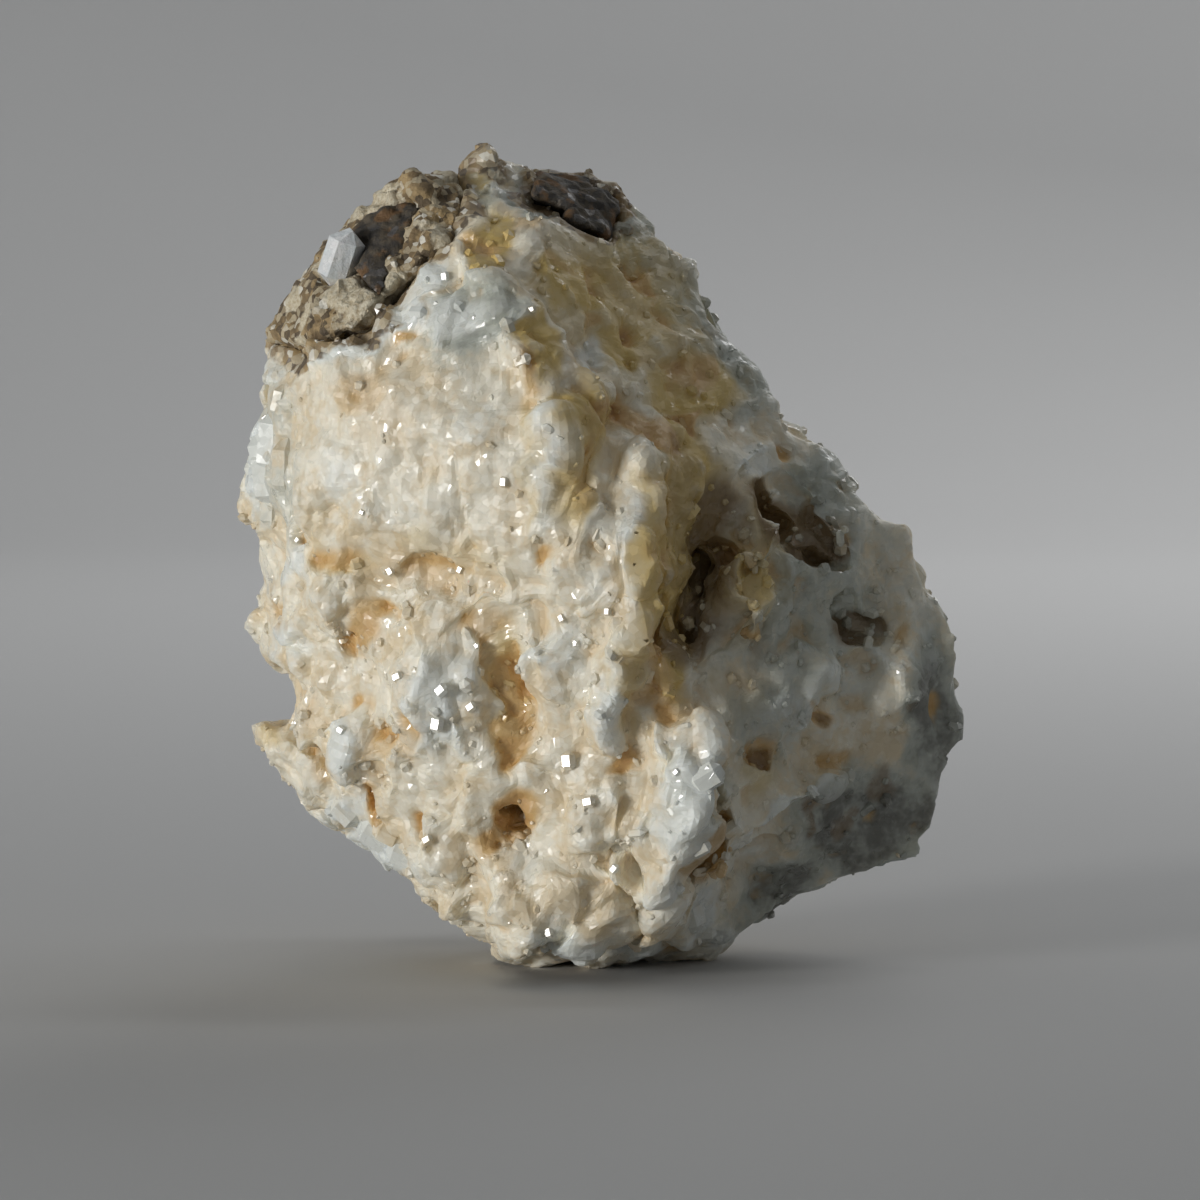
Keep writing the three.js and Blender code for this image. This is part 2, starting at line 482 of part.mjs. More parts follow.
// Grains of ore and quartz that roughen the matrix, rooted in it.
function oreGrains() {
  const random = seededRandom(7);
  const between = (low, high) => low + (high - low) * random();
  return Array.from({ length: 11 }, (_, i) => {
    const x = i < 6 ? between(-13.8, -11) : between(-21, -17);
    const z = i < 6 ? between(49.5, 56.5) : between(45.5, 49);
    const size = between(1.9, 2.9);
    const at = onSkin("front", x, z, 0.4);
    const axis = [between(-1, 1), between(-1, 1), between(-1, 1)];
    return crystal({ at, axis, face: [-0.5, -0.6, 0.6], length: size * 1.2, width: size, thick: size });
  });
}

function buildPieces() {
  const grown = [hook(), ...lobes(), ...standingCrystals(), ...scatteredCrystals(22)];
  const whole = wasm.Manifold.union([wholeForm(), ...grown]);
  const floorBox = solidOf(new THREE.BoxGeometry(80, 80, 20).translate(0, 0, -10));
  const stone = whole.subtract(floorBox).simplify(FINEST);
  const ore = oreSpaces(0);
  const seats = oreSpaces(GAP);
  const clearPlace = onSkin("front", -18.3, 51.0, -1.1);
  const clearForm = { at: clearPlace, axis: [0.35, -0.2, 1], face: [-0.3, -1, 0.2], wear: 0 };
  const clear = crystal({ ...clearForm, length: 4.6, width: 2.3, thick: 2.8 });
  const socket = crystal({ ...clearForm, length: 4.6 + 3 * GAP, width: 2.3 + 2.4 * GAP, thick: 2.8 + 2.4 * GAP });
  const mass = stone.subtract(wasm.Manifold.union([seats.matrix, seats.crestGrain, ...cavities()]));
  const rough = wasm.Manifold.union([stone, ...oreGrains()]).simplify(FINEST);
  const taken = wasm.Manifold.union([seats.shoulderGrain, seats.crestGrain, socket]);
  const matrix = rough.intersect(ore.matrix).subtract(taken);
  return {
    anglesite_mass: mass,
    ore_matrix: matrix,
    galena_shoulder_grain: stone.intersect(ore.shoulderGrain).subtract(socket),
    galena_crest_grain: stone.intersect(ore.crestGrain),
    clear_crystal: clear,
  };
}

const FINISHES = {
  anglesite_mass: { color: 0xd8c9a8, roughness: 0.45, metalness: 0 },
  ore_matrix: { color: 0x6a5a41, roughness: 0.85, metalness: 0 },
  galena_shoulder_grain: { color: 0x37363a, roughness: 0.35, metalness: 0.6 },
  galena_crest_grain: { color: 0x2f2b27, roughness: 0.45, metalness: 0.5 },
  clear_crystal: { color: 0xdce6ea, roughness: 0.15, metalness: 0 },
};

// The largest body of a solid, without crumbs that a cut left loose.
function largestBody(solid) {
  return solid.simplify(SLIVER).decompose().sort((a, b) => b.volume() - a.volume())[0];
}

const specimen = new THREE.Group();
const pieces = Object.entries(buildPieces()).map(([name, solid]) => [name, largestBody(solid)]);
for (const [name, solid] of pieces) {
  const mesh = new THREE.Mesh(geometryOf(solid), new THREE.MeshStandardMaterial(FINISHES[name]));
  mesh.name = name;
  specimen.add(mesh);
}
const box = new THREE.Box3().setFromObject(specimen);
const middle = box.getCenter(new THREE.Vector3());
specimen.position.set(-middle.x, -middle.y, -box.min.z);

export default specimen;
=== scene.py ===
import math

import bpy
import numpy as np
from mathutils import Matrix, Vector
from mathutils.bvhtree import BVHTree


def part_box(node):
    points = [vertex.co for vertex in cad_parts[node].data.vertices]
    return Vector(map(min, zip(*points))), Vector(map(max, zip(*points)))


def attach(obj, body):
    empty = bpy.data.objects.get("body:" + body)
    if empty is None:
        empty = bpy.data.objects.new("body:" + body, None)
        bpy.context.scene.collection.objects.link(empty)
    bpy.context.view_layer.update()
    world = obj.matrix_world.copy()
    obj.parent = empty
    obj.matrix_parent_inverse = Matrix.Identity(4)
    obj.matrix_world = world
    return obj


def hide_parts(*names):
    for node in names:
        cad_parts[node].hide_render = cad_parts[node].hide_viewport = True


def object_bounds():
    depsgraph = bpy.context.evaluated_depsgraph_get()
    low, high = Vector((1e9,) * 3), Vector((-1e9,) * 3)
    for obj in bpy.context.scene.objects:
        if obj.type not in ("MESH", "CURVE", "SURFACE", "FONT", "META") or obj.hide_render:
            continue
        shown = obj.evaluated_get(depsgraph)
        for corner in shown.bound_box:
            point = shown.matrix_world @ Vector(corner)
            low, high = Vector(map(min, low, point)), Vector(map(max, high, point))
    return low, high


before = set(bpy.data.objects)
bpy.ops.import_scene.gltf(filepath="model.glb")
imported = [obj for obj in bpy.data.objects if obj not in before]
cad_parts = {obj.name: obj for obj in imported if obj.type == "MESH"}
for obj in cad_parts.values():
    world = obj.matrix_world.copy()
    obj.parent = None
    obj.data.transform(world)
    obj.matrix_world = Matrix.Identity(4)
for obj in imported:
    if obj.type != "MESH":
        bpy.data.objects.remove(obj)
cad_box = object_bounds()


# ---- the studio ----
# The specimen stands on a pale matt sweep that curves up all round, so that no edge shows behind it. A soft
# lamp stands low in front on its left, a weak one fills its back, and one looks away from it at the sweep.
MIDDLE = -0.00011
VIEW_HEIGHT = 0.0264
VIEW_DISTANCE = 0.3285
VIEW_RISE = math.radians(3)
LENS_LENGTH, SENSOR_WIDTH = 135, 36
NEAREST, FARTHEST = 0.01, 20
SWEEP_FLOOR, SWEEP_BEND, SWEEP_WALL = 0.75, 0.55, 0.7
BEND_STEPS, ROUND = 12, 96
PAPER_GREY, PAPER_ROUGHNESS = (0.56, 0.56, 0.56, 1), 0.9
AIR_COLOUR, AIR_LIGHT = (0.94, 0.98, 1.0, 1), 0.2
KEY_LAMP, WARM_WHITE = Vector((-0.495, -0.372, 0.055)), (1, 0.985, 0.955)

lens = bpy.data.cameras.new("camera")
lens.lens, lens.sensor_width = LENS_LENGTH, SENSOR_WIDTH
lens.clip_start, lens.clip_end = NEAREST, FARTHEST
camera = bpy.data.objects.new("camera", lens)
bpy.context.scene.collection.objects.link(camera)
bpy.context.scene.camera = camera
towards = Vector((0, -math.cos(VIEW_RISE), math.sin(VIEW_RISE)))
camera.location = Vector((MIDDLE, 0, VIEW_HEIGHT)) + towards * VIEW_DISTANCE
camera.rotation_mode = "QUATERNION"
camera.rotation_quaternion = (-towards).to_track_quat("-Z", "Y")

profile = [(0.0, 0.0), (SWEEP_FLOOR, 0.0)]
for step in range(1, BEND_STEPS + 1):
    turn = step / BEND_STEPS * math.pi / 2
    profile.append((SWEEP_FLOOR + SWEEP_BEND * math.sin(turn), SWEEP_BEND * (1 - math.cos(turn))))
profile.append((SWEEP_FLOOR + SWEEP_BEND, SWEEP_WALL))
corners = [
    (r * math.cos(2 * math.pi * k / ROUND), r * math.sin(2 * math.pi * k / ROUND), z)
    for r, z in profile[1:]
    for k in range(ROUND)
]
sides = [(0, 1, ROUND - 1), (ROUND // 2 - 1, ROUND // 2, ROUND // 2 + 1)]
sides += [(k, k + 1, ROUND - k - 1, ROUND - k) for k in range(1, ROUND // 2 - 1)]
for ring in range(len(profile) - 2):
    for k in range(ROUND):
        a, b = ring * ROUND + k, ring * ROUND + (k + 1) % ROUND
        sides.append((a, a + ROUND, b + ROUND, b))
sweep_mesh = bpy.data.meshes.new("sweep")
sweep_mesh.from_pydata(corners, [], sides)
sweep_mesh.shade_smooth()
sweep = bpy.data.objects.new("sweep", sweep_mesh)
bpy.context.scene.collection.objects.link(sweep)
paper = bpy.data.materials.new("sweep_paper")
paper.use_nodes = True
paper_shader = paper.node_tree.nodes["Principled BSDF"]
paper_shader.inputs["Base Color"].default_value = PAPER_GREY
paper_shader.inputs["Roughness"].default_value = PAPER_ROUGHNESS
sweep_mesh.materials.append(paper)

air = bpy.data.worlds.new("studio_air")
bpy.context.scene.world = air
air.use_nodes = True
air.node_tree.nodes["Background"].inputs["Color"].default_value = AIR_COLOUR
air.node_tree.nodes["Background"].inputs["Strength"].default_value = AIR_LIGHT


def lamp(name, place, aim, power, size, colour=(1, 1, 1)):
    """A square soft lamp that isn't seen itself."""
    light = bpy.data.lights.new(name, "AREA")
    light.energy, light.size, light.color = power, size, colour
    stand = bpy.data.objects.new(name, light)
    bpy.context.scene.collection.objects.link(stand)
    stand.location = place
    stand.rotation_euler = (Vector(aim) - Vector(place)).to_track_quat("-Z", "Y").to_euler()
    stand.visible_camera = False


lamp("key_lamp", place=KEY_LAMP, aim=(0, 0, 0.03), power=2.7, size=0.14, colour=WARM_WHITE)
lamp("back_fill", place=(0.3, 0.75, 0.5), aim=(0, 0, 0.02), power=1.2, size=0.5)
lamp("sweep_lamp", place=(0.4, 0.25, 0.75), aim=(0.45, 1.3, 0.15), power=3.6, size=0.6)
bpy.context.scene.view_settings.view_transform = "Standard"


# ---- the anglesite mass ----
# Lead sulphate crystals grown together into one waxy, cream-coloured wedge. The solid form is rebuilt on
# an even grid and worked over as the mineral grew: upright lobes, blocky faces, crusts, and iron stain that
# lies in the hollows. Shade is painted dark brown into its deep hollows and recesses, and light is painted
# white on its edges and proud lumps. Sizes are in millimetres, and places are across and up on the front.
MM = 1000
MASS_GRID = 0.36
ON_FRONT = -0.11
TAN, CREAM, PALE = (0.69, 0.58, 0.4, 1), (0.78, 0.735, 0.61, 1), (0.86, 0.85, 0.77, 1)
# the milk white is the stone's milky tone, and also painted light on edges, proud lumps and shaded lobes
MILK_AND_HIGHLIGHT_WHITE, HONEY = (0.74, 0.765, 0.73, 1), (0.62, 0.45, 0.15, 1)
# the olive grey and the smoke also paint shade: they darken the boss, the crest, the right side and the
# lower right facet
OLIVE_GREY_AND_SHADE, SMOKE_AND_SHADE = (0.43, 0.45, 0.4, 1), (0.15, 0.15, 0.13, 1)
# the last colour paints shade into deep hollows and recesses, and is also the dark stain beside the galena
RUST_ORANGE, RUST_BROWN, SHADE_AND_STAIN_BROWN = (0.62, 0.41, 0.17, 1), (0.38, 0.18, 0.05, 1), (0.2, 0.13, 0.06, 1)


PLACE_KEYS, SALT_KEY = (73856093, 19349663, 83492791), 40503919
STIRS, LAST_SHIFT = ((15, 2246822519), (13, 3266489917)), 16
ALL_BITS = 0xFFFFFFFF


def chance(lattice, salt):
    """An even chance from 0 to 1 for each place of whole numbers, the same on every run."""
    across, back, up = (lattice[..., k] * key for k, key in enumerate(PLACE_KEYS))
    mixed = (across ^ back ^ up ^ (salt * SALT_KEY)) & ALL_BITS
    for shift, key in STIRS:
        mixed = ((mixed ^ (mixed >> shift)) * key) & ALL_BITS
    return (mixed ^ (mixed >> LAST_SHIFT)) / (ALL_BITS + 1)


def ease(part):
    """From 0 to 1 with a slow start and end."""
    return part * part * (3 - 2 * part)


def cloud(points, size, salt):
    """Soft noise from -1 to 1 with lumps about one size across."""
    scaled = points / size
    base = np.floor(scaled).astype(np.int64)
    part = ease(scaled - base)
    total = np.zeros(len(points))
    for corner in np.ndindex(2, 2, 2):
        share = np.prod(np.where(corner, part, 1 - part), axis=1)
        total += share * chance(base + np.array(corner), salt)
    return total * 2 - 1


FACE_TILT = 1.8
FAR_OFF = 9.0


def blocks(points, size, salt):
    """Blocky break: a height that is flat and tilted in each cell, and the crease between the cells."""
    scaled = points / size
    base = np.floor(scaled).astype(np.int64)
    nearest = np.full(len(points), FAR_OFF)
    second = np.full(len(points), FAR_OFF)
    height = np.zeros(len(points))
    for step in np.ndindex(3, 3, 3):
        cell = base + np.array(step) - 1
        centre = cell + np.stack([chance(cell, salt + k) for k in range(3)], axis=1)
        across = scaled - centre
        distance = np.linalg.norm(across, axis=1)
        closer = distance < nearest
        second = np.where(closer, nearest, np.minimum(second, distance))
        nearest = np.where(closer, distance, nearest)
        tilt = np.stack([chance(cell, salt + k) - 0.5 for k in range(3, 6)], axis=1)
        lift = chance(cell, salt + 6) - 0.5
        height = np.where(closer, lift + FACE_TILT * np.sum(across * tilt, axis=1), height)
    return height, second - nearest


OWN_SHARE, SHARE_OF_NEAR = 0.4, 0.6


def spread(values, edges, times):
    """The values, evened out with those of their neighbours a number of times."""
    a, b = edges.T
    count = np.bincount(a, minlength=len(values)) + np.bincount(b, minlength=len(values))
    flat = values.reshape(len(values), -1)
    for _ in range(times):
        columns = []
        for column in flat.T:
            near = np.bincount(a, column[b], len(column)) + np.bincount(b, column[a], len(column))
            columns.append(OWN_SHARE * column + SHARE_OF_NEAR * near / count)
        flat = np.stack(columns, axis=1)
    return flat.reshape(values.shape)


def ramp(values, low, high):
    """0 below low and 1 above high."""
    return ease(np.clip((values - low) / (high - low), 0, 1))


class Skin:
    """A closed skin on an even grid, in millimetres, that is worked by moving its points."""

    def __init__(self, name, nodes, grid):
        mesh = bpy.data.meshes.new(name)
        points, faces = [], []
        for node in nodes:
            source = node.data
            faces += [tuple(v + len(points) for v in f.vertices) for f in source.polygons]
            points += [tuple(v.co * MM) for v in source.vertices]
        mesh.from_pydata(points, [], faces)
        self.piece = bpy.data.objects.new(name, mesh)
        bpy.context.scene.collection.objects.link(self.piece)
        even = self.piece.modifiers.new("even_grid", "REMESH")
        even.mode, even.voxel_size = "VOXEL", grid
        made = self.piece.evaluated_get(bpy.context.evaluated_depsgraph_get())
        self.mesh = bpy.data.meshes.new_from_object(made)
        self.mesh.name = name
        self.piece.modifiers.clear()
        self.piece.data = self.mesh
        count = len(self.mesh.vertices)
        self.points = np.zeros(count * 3)
        self.mesh.vertices.foreach_get("co", self.points)
        self.points = self.points.reshape(-1, 3)
        self.edges = np.zeros(len(self.mesh.edges) * 2, np.int64)
        self.mesh.edges.foreach_get("vertices", self.edges)
        self.edges = self.edges.reshape(-1, 2)

    def normals(self):
        self.mesh.vertices.foreach_set("co", self.points.ravel())
        self.mesh.update()
        found = np.zeros(len(self.points) * 3)
        self.mesh.vertices.foreach_get("normal", found)
        return found.reshape(-1, 3)

    def soften(self, times):
        self.points = spread(self.points, self.edges, times)

    def raise_by(self, height, normals=None):
        normals = self.normals() if normals is None else normals
        self.points = self.points + normals * height[:, None]

    def hollow(self, times):
        """How deep a point lies between its neighbours: above 0 in hollows, below 0 on edges."""
        normals = spread(self.normals(), self.edges, 4)
        return np.sum((spread(self.points, self.edges, times) - self.points) * normals, axis=1)

    def paint(self, name, values):
        layer = self.mesh.attributes.new(name, "FLOAT", "POINT")
        layer.data.foreach_set("value", np.clip(values, 0, 1).astype(np.float32))

    def finish(self, low, high):
        """Kept inside the solid's box, flat on its resting spot, and back in metres."""
        self.points = np.clip(self.points, np.array(low) * MM, np.array(high) * MM)
        self.mesh.vertices.foreach_set("co", self.points.ravel() / MM)
        self.mesh.update()


def along(points, path, width):
    """How near the points are to a path drawn on the front, 1 on it and 0 a width away."""
    place = points[:, [0, 2]]
    path = np.array(path) + (ON_FRONT, 0)
    nearest = np.full(len(points), np.inf)
    for start, end in zip(path[:-1], path[1:]):
        run = end - start
        part = np.clip((place - start) @ run / (run @ run), 0, 1)
        nearest = np.minimum(nearest, np.linalg.norm(place - start - part[:, None] * run, axis=1))
    return np.clip(1 - nearest / width, 0, 1)


FADES_FROM, FADES_TO = 0.35, 1.25


def patch(points, x, z, wide, high, turn=0):
    """A soft-edged oval drawn on the front: 1 in its middle and 0 past its rim."""
    dx, dz = points[:, 0] - x - ON_FRONT, points[:, 2] - z
    c, s = math.cos(math.radians(turn)), math.sin(math.radians(turn))
    reach = np.hypot((dx * c + dz * s) / wide, (dz * c - dx * s) / high)
    return 1 - ramp(reach, FADES_FROM, FADES_TO)


def wander(points, reach, size, salts):
    """Moves for the points, up to a reach each way, in soft lumps about one size across."""
    return reach * np.stack([cloud(points, size, salt) for salt in salts], axis=1)


# the broad pale face stays smoother than the rest: its middle, half width and half height
BROAD_FACE = (-13.5, 38.5, 11.5, 9.0)
mass = Skin("anglesite_skin", [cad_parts["anglesite_mass"]], MASS_GRID)
mass.soften(4)
start = mass.points.copy()
broad = patch(start, *BROAD_FACE)
drift = wander(start, reach=0.6, size=2.8, salts=(1, 2, 3))
drift += wander(start, reach=0.32, size=1.3, salts=(17, 18, 19)) * (1 - broad)[:, None]
mass.points += drift * ramp(start[:, 2], 0.2, 3)[:, None]
facing = spread(mass.normals(), mass.edges, 12)
front = ramp(-facing[:, 1], -0.4, 0.1)
broad *= front
lobed = ramp(start[:, 0], 3, 9) * front
warped = start + wander(start, reach=0.9, size=2.4, salts=(11, 12, 13))
tint = start + wander(start, reach=0.8, size=1.8, salts=(14, 15, 16))


def gap_to(node, reach):
    """How far the skin is from another piece, up to a reach."""
    corners = [v.co * MM for v in node.data.vertices]
    tree = BVHTree.FromPolygons(corners, [tuple(f.vertices) for f in node.data.polygons])
    found = (tree.find_nearest(point, reach)[3] for point in tint)
    return np.array([reach if distance is None else distance for distance in found])


def pit_depth(points, side, cell, times):
    """How far each point lies under a sheet stretched over the narrow pits of the front (-1) or back (1)."""
    square = np.floor(points[:, [0, 2]] / cell).astype(int)
    square = tuple((square - square.min(axis=0)).T)
    top = np.full((square[0].max() + 1, square[1].max() + 1), points[:, 1].min() * 2)
    np.maximum.at(top, square, side * points[:, 1])
    sheet = top
    for _ in range(times):
        near = sum(np.roll(sheet, step, axis) for step in (-1, 1) for axis in (0, 1)) / 4
        sheet = np.maximum(sheet, near)
    return (sheet - top)[square]


# Later crystals have partly filled the pits, except beside the ore. For the front and the back: the side,
# how many rounds the sheet is drawn taut, and how much of the depth is filled.
SHEETS, SHEET_CELL, ORE_REACH = ((-1, 16, 0.85), (1, 90, 1.0)), 0.4, 3.0
ore_gap = gap_to(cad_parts["ore_matrix"], ORE_REACH)
galena_gap = gap_to(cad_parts["galena_crest_grain"], ORE_REACH)
by_itself = ramp(np.minimum(ore_gap, galena_gap), 0.8, 2.4)
for side, times, filled in SHEETS:
    fill = pit_depth(mass.points, side, SHEET_CELL, times) * ramp(side * facing[:, 1], -0.1, 0.3) * by_itself
    mass.points[:, 1] += side * filled * spread(fill, mass.edges, 6)

# hollows that are worn until they are shallow: x, z, half width, half height
WORN = [(-6.8, 9.9, 3.0, 3.2), (-16.6, 24.6, 2.4, 2.8)]
WORN_BEHIND, WEAR = (-9.2, 35.2, 4.2, 4.2), 110
worn = sum(patch(start, *place) for place in WORN) * front + patch(start, *WORN_BEHIND) * (1 - front)
mass.points += (spread(mass.points, mass.edges, WEAR) - mass.points) * worn[:, None]

# raised edges and worn furrows: path on the front, width, height
RIDGES = [
    ([(-9.0, 59.4), (-10.2, 54.5), (-8.6, 50.0), (-5.8, 46.1)], 1.8, 0.5),
    ([(-5.8, 46.1), (-4.7, 43.2), (-4.0, 40.6), (-3.9, 35.9), (-4.1, 30.8)], 2.2, 0.5),
    ([(2.4, 37.6), (2.3, 33.7), (2.2, 29.3), (2.0, 24.0)], 2.8, 0.8),
    ([(2.0, 24.0), (1.2, 20.6), (0.3, 17.4)], 2.2, 0.8),
    ([(9.6, 35.4), (10.4, 36.8), (11.8, 37.4), (13.8, 36.2)], 1.2, 0.7),
    ([(9.2, 9.6), (12.9, 12.2), (16.5, 14.4)], 1.2, 0.9),
    ([(6.7, 6.7), (6.5, 2.0)], 1.0, 0.7),
    ([(-21.6, 15.4), (-24.9, 17.2)], 1.4, 0.5),
    ([(-1.2, 41.0), (-1.0, 31.6)], 3.4, 1.8),
    ([(7.2, 18.6), (7.4, 13.0), (7.0, 9.6)], 2.8, 1.5),
    ([(-1.8, 7.0), (-1.6, 4.2)], 2.8, 2.2),
    ([(0.9, 7.6), (1.0, 4.6)], 2.6, 3.0),
    ([(3.8, 7.0), (3.6, 4.8)], 2.4, 3.0),
    ([(1.5, 37.5), (3.0, 37.3)], 1.4, 0.7),
]
FURROWS = [
    ([(-19.2, 30.1), (-14.6, 29.0), (-9.5, 28.3), (-5.1, 26.4)], 1.8, 0.6),
    ([(-7.3, 25.0), (-6.2, 22.0), (-5.8, 17.7), (-6.4, 13.6)], 2.0, 0.6),
    ([(8.8, 14.0), (6.6, 9.6), (5.1, 6.0)], 1.5, 1.2),
    ([(4.4, 24.4), (3.6, 21.6), (2.6, 18.4)], 1.4, 0.7),
    ([(-16.8, 23.0), (-16.1, 20.6), (-16.6, 16.2), (-16.6, 14.2)], 1.5, 0.6),
    ([(-9.5, 9.6), (-8.0, 1.6)], 1.4, 0.8),
    ([(1.0, 6.7), (0.0, 2.3)], 1.3, 0.9),
    ([(10.6, 22.5), (14.0, 24.0), (19.0, 22.0)], 1.6, 0.8),
    ([(-23.4, 20.8), (-23.0, 18.6)], 1.8, 1.4),
    ([(10.6, 30.6), (10.2, 26.0)], 3.6, 2.4),
]
carving = np.zeros(len(start))
for path, width, height in RIDGES:
    carving += height * ramp(along(warped, path, width), 0, 1)
for path, width, depth in FURROWS:
    carving -= depth * ramp(along(warped, path, width), 0, 1)
mass.raise_by(carving * front, facing)

# the crust that grew over the form: heights of its upright lumps, its blocks and its grains, and of the
# swell of the right-hand lobes, of the creases between blocks, and of the eaten spots
UPRIGHT, COARSE, MEDIUM, FINE = 0.35, 0.35, 0.3, 0.14
LOBE_SWELL, GALENA_COLLAR = 0.5, 0.35
COARSE_CREASE, MEDIUM_CREASE, EATEN = 0.25, 0.1, 0.7
# the upright lumps and the middling blocks are taller than they are wide
DRAWN_UP, TALL_BLOCKS = (1, 1, 0.4), (1, 1, 0.75)
EVEN_RIDGE = [(2.4, 38.4), (2.2, 29.3), (2.0, 24.0)]
even = ramp(along(start, EVEN_RIDGE, 3.2), 0, 0.8) * front
crust = (1 - 0.6 * np.maximum(broad, even)) * (1 - 0.25 * lobed)
upright = cloud(warped * DRAWN_UP, size=2.4, salt=5)
coarse, coarse_crease = blocks(warped, size=3.4, salt=21)
medium, medium_crease = blocks(warped * TALL_BLOCKS, size=1.8, salt=31)
fine, _ = blocks(start, size=0.95, salt=41)
facing = spread(mass.normals(), mass.edges, 3)
relief = crust * (UPRIGHT * upright + COARSE * coarse + MEDIUM * medium) + FINE * fine
relief += LOBE_SWELL * cloud(start, size=4.5, salt=8) * lobed
relief += GALENA_COLLAR * (1 - ramp(galena_gap, 0.2, 1.2))
creased = COARSE_CREASE * (1 - ramp(coarse_crease, 0, 0.2))
creased += MEDIUM_CREASE * (1 - ramp(medium_crease, 0, 0.25))
eaten = ramp(cloud(start, size=2.2, salt=7), 0.55, 0.85) * crust
mass.raise_by(relief - crust * creased - EATEN * eaten, facing)
mass.soften(1)

sunk = mass.hollow(40)
deep = ramp(sunk, 0.05, 1.3)
low_lying = ramp(sunk, 0.0, 0.45)
proud = ramp(-mass.hollow(30), 0.02, 0.4)
shallow = ramp(mass.hollow(10), 0.0, 0.25)
edge = ramp(-mass.hollow(8), 0.02, 0.25)

# where the colours lie: x, z, half width, half height, turn, strength
# milky white patches: partly the stone's own tone, partly painted light that lifts shaded lobes and the
# lower middle
MILKY_AND_LIT = [
    (-10.6, 46.5, 2.4, 1.6, 25, 0.75), (-12.6, 47.2, 2.2, 0.8, 32, 0.6), (-24.7, 37.2, 1.6, 4.2, 0, 1.0),
    (-16.1, 8.9, 2.8, 1.7, -35, 1.3), (5.2, 12.6, 2.8, 6.4, 6, 0.48), (-11.7, 19.9, 3.4, 5.0, 0, 0.65),
    (-2.9, 23.6, 2.4, 3.4, 0, 0.5), (2.1, 31.0, 1.1, 7.0, 2, 0.5), (1.1, 20.2, 1.3, 3.8, -8, 0.6),
    (-4.4, 37.8, 1.0, 7.4, 0, 0.45), (-2.9, 3.4, 2.2, 1.4, 0, 0.8), (2.9, 2.2, 2.0, 1.4, 30, 0.9),
    (7.2, 4.4, 1.1, 2.4, -10, 0.8), (6.0, 15.4, 2.0, 4.0, 4, 0.5), (-18.3, 35.4, 1.6, 3.8, 0, 0.4),
    (-10.6, 54.3, 1.1, 2.6, 5, 0.7), (-23.6, 43.2, 1.0, 2.8, 0, 0.5), (-22.0, 29.3, 1.3, 1.2, 0, 0.7),
    (-22.0, 24.3, 1.6, 2.0, 0, 0.6), (-18.2, 16.4, 1.8, 2.6, 15, 0.7), (-18.7, 11.6, 1.3, 2.2, -20, 0.6),
    (-8.8, 26.6, 2.2, 1.7, 0, 0.35), (0.2, 28.4, 2.0, 2.0, 0, 0.35), (-0.6, 43.9, 1.1, 0.9, 0, 0.7),
    (1.5, 54.6, 1.2, 1.8, -30, 0.5), (11.7, 36.6, 2.6, 0.9, -10, 0.55), (18.3, 22.0, 3.2, 2.2, 0, 0.4),
    (13.9, 18.0, 4.2, 2.8, 10, 0.4), (10.2, 27.2, 2.3, 3.4, 0, 0.3), (13.1, 12.2, 4.4, 0.8, 33, 0.9),
    (8.9, 9.4, 1.2, 0.9, 0, 0.8), (23.8, 24.0, 2.0, 4.0, 0, 0.3), (-6.0, 8.6, 2.0, 1.6, 0, 0.3),
    (-14.8, 33.6, 3.4, 1.4, 0, 0.3), (-8.2, 39.6, 2.4, 2.6, 0, 0.35), (5.6, 43.6, 2.2, 2.2, -35, 0.25),
    (8.2, 2.2, 2.4, 1.2, 0, 0.5), (11.4, 8.6, 3.0, 2.2, 0, 0.5),
]
RUSTY = [
    (-16.8, 25.1, 1.4, 2.6, -35, 0.95), (-16.5, 12.4, 1.1, 1.8, 20, 1.0), (-5.8, 11.9, 1.6, 2.2, -20, 1.0),
    (-7.7, 9.6, 1.9, 0.9, 42, 0.9), (-6.2, 19.4, 1.3, 4.4, 0, 0.75), (-7.8, 24.6, 1.7, 1.6, 0, 0.5),
    (-18.3, 30.2, 2.5, 1.2, 0, 0.85), (-12.4, 29.4, 5.0, 1.0, -3, 0.5), (-3.7, 30.3, 1.3, 0.6, 0, 0.9),
    (-16.4, 41.8, 3.2, 1.9, 0, 0.55), (-14.2, 39.2, 3.0, 2.6, 0, 0.35), (-14.2, 45.8, 0.9, 0.8, 0, 0.9),
    (-8.3, 52.1, 1.7, 0.8, -10, 0.8), (-4.8, 43.2, 1.1, 2.4, 16, 0.75), (6.3, 39.8, 1.1, 0.8, 0, 0.9),
    (3.5, 49.2, 0.9, 1.9, 22, 0.8), (4.8, 46.4, 0.8, 1.2, 0, 0.6), (-5.4, 53.2, 2.2, 1.0, -20, 0.6),
    (-1.7, 36.4, 1.3, 5.2, 0, 0.5), (4.2, 22.2, 1.2, 5.0, 10, 0.7), (0.5, 16.2, 1.0, 1.9, -15, 0.8),
    (7.4, 9.4, 1.1, 3.8, -28, 0.7), (1.4, 4.4, 0.9, 2.2, -28, 0.7), (-6.6, 7.4, 1.0, 1.8, 0, 0.4),
    (-23.0, 26.0, 1.5, 1.6, 0, 0.6), (-13.9, 18.0, 1.5, 2.4, 0, 0.45), (-21.2, 19.0, 1.3, 2.2, 0, 0.35),
    (5.0, 1.8, 0.9, 1.6, 0, 0.6), (11.3, 15.8, 1.7, 1.3, 0, 0.6), (16.1, 18.8, 0.9, 0.9, 0, 0.8),
    (-11.9, 24.6, 1.0, 0.7, 0, 0.3), (-20.0, 14.6, 1.0, 1.4, 0, 0.5), (-0.6, 7.4, 1.0, 1.2, 0, 0.4),
    (6.8, 43.2, 1.4, 1.8, -20, 0.7), (4.4, 33.0, 1.1, 6.0, 0, 0.5), (-0.9, 46.2, 0.8, 0.8, 0, 0.7),
    (-2.6, 50.4, 1.6, 0.7, -30, 0.6), (-1.2, 39.4, 2.2, 1.2, 0, 0.45),
]
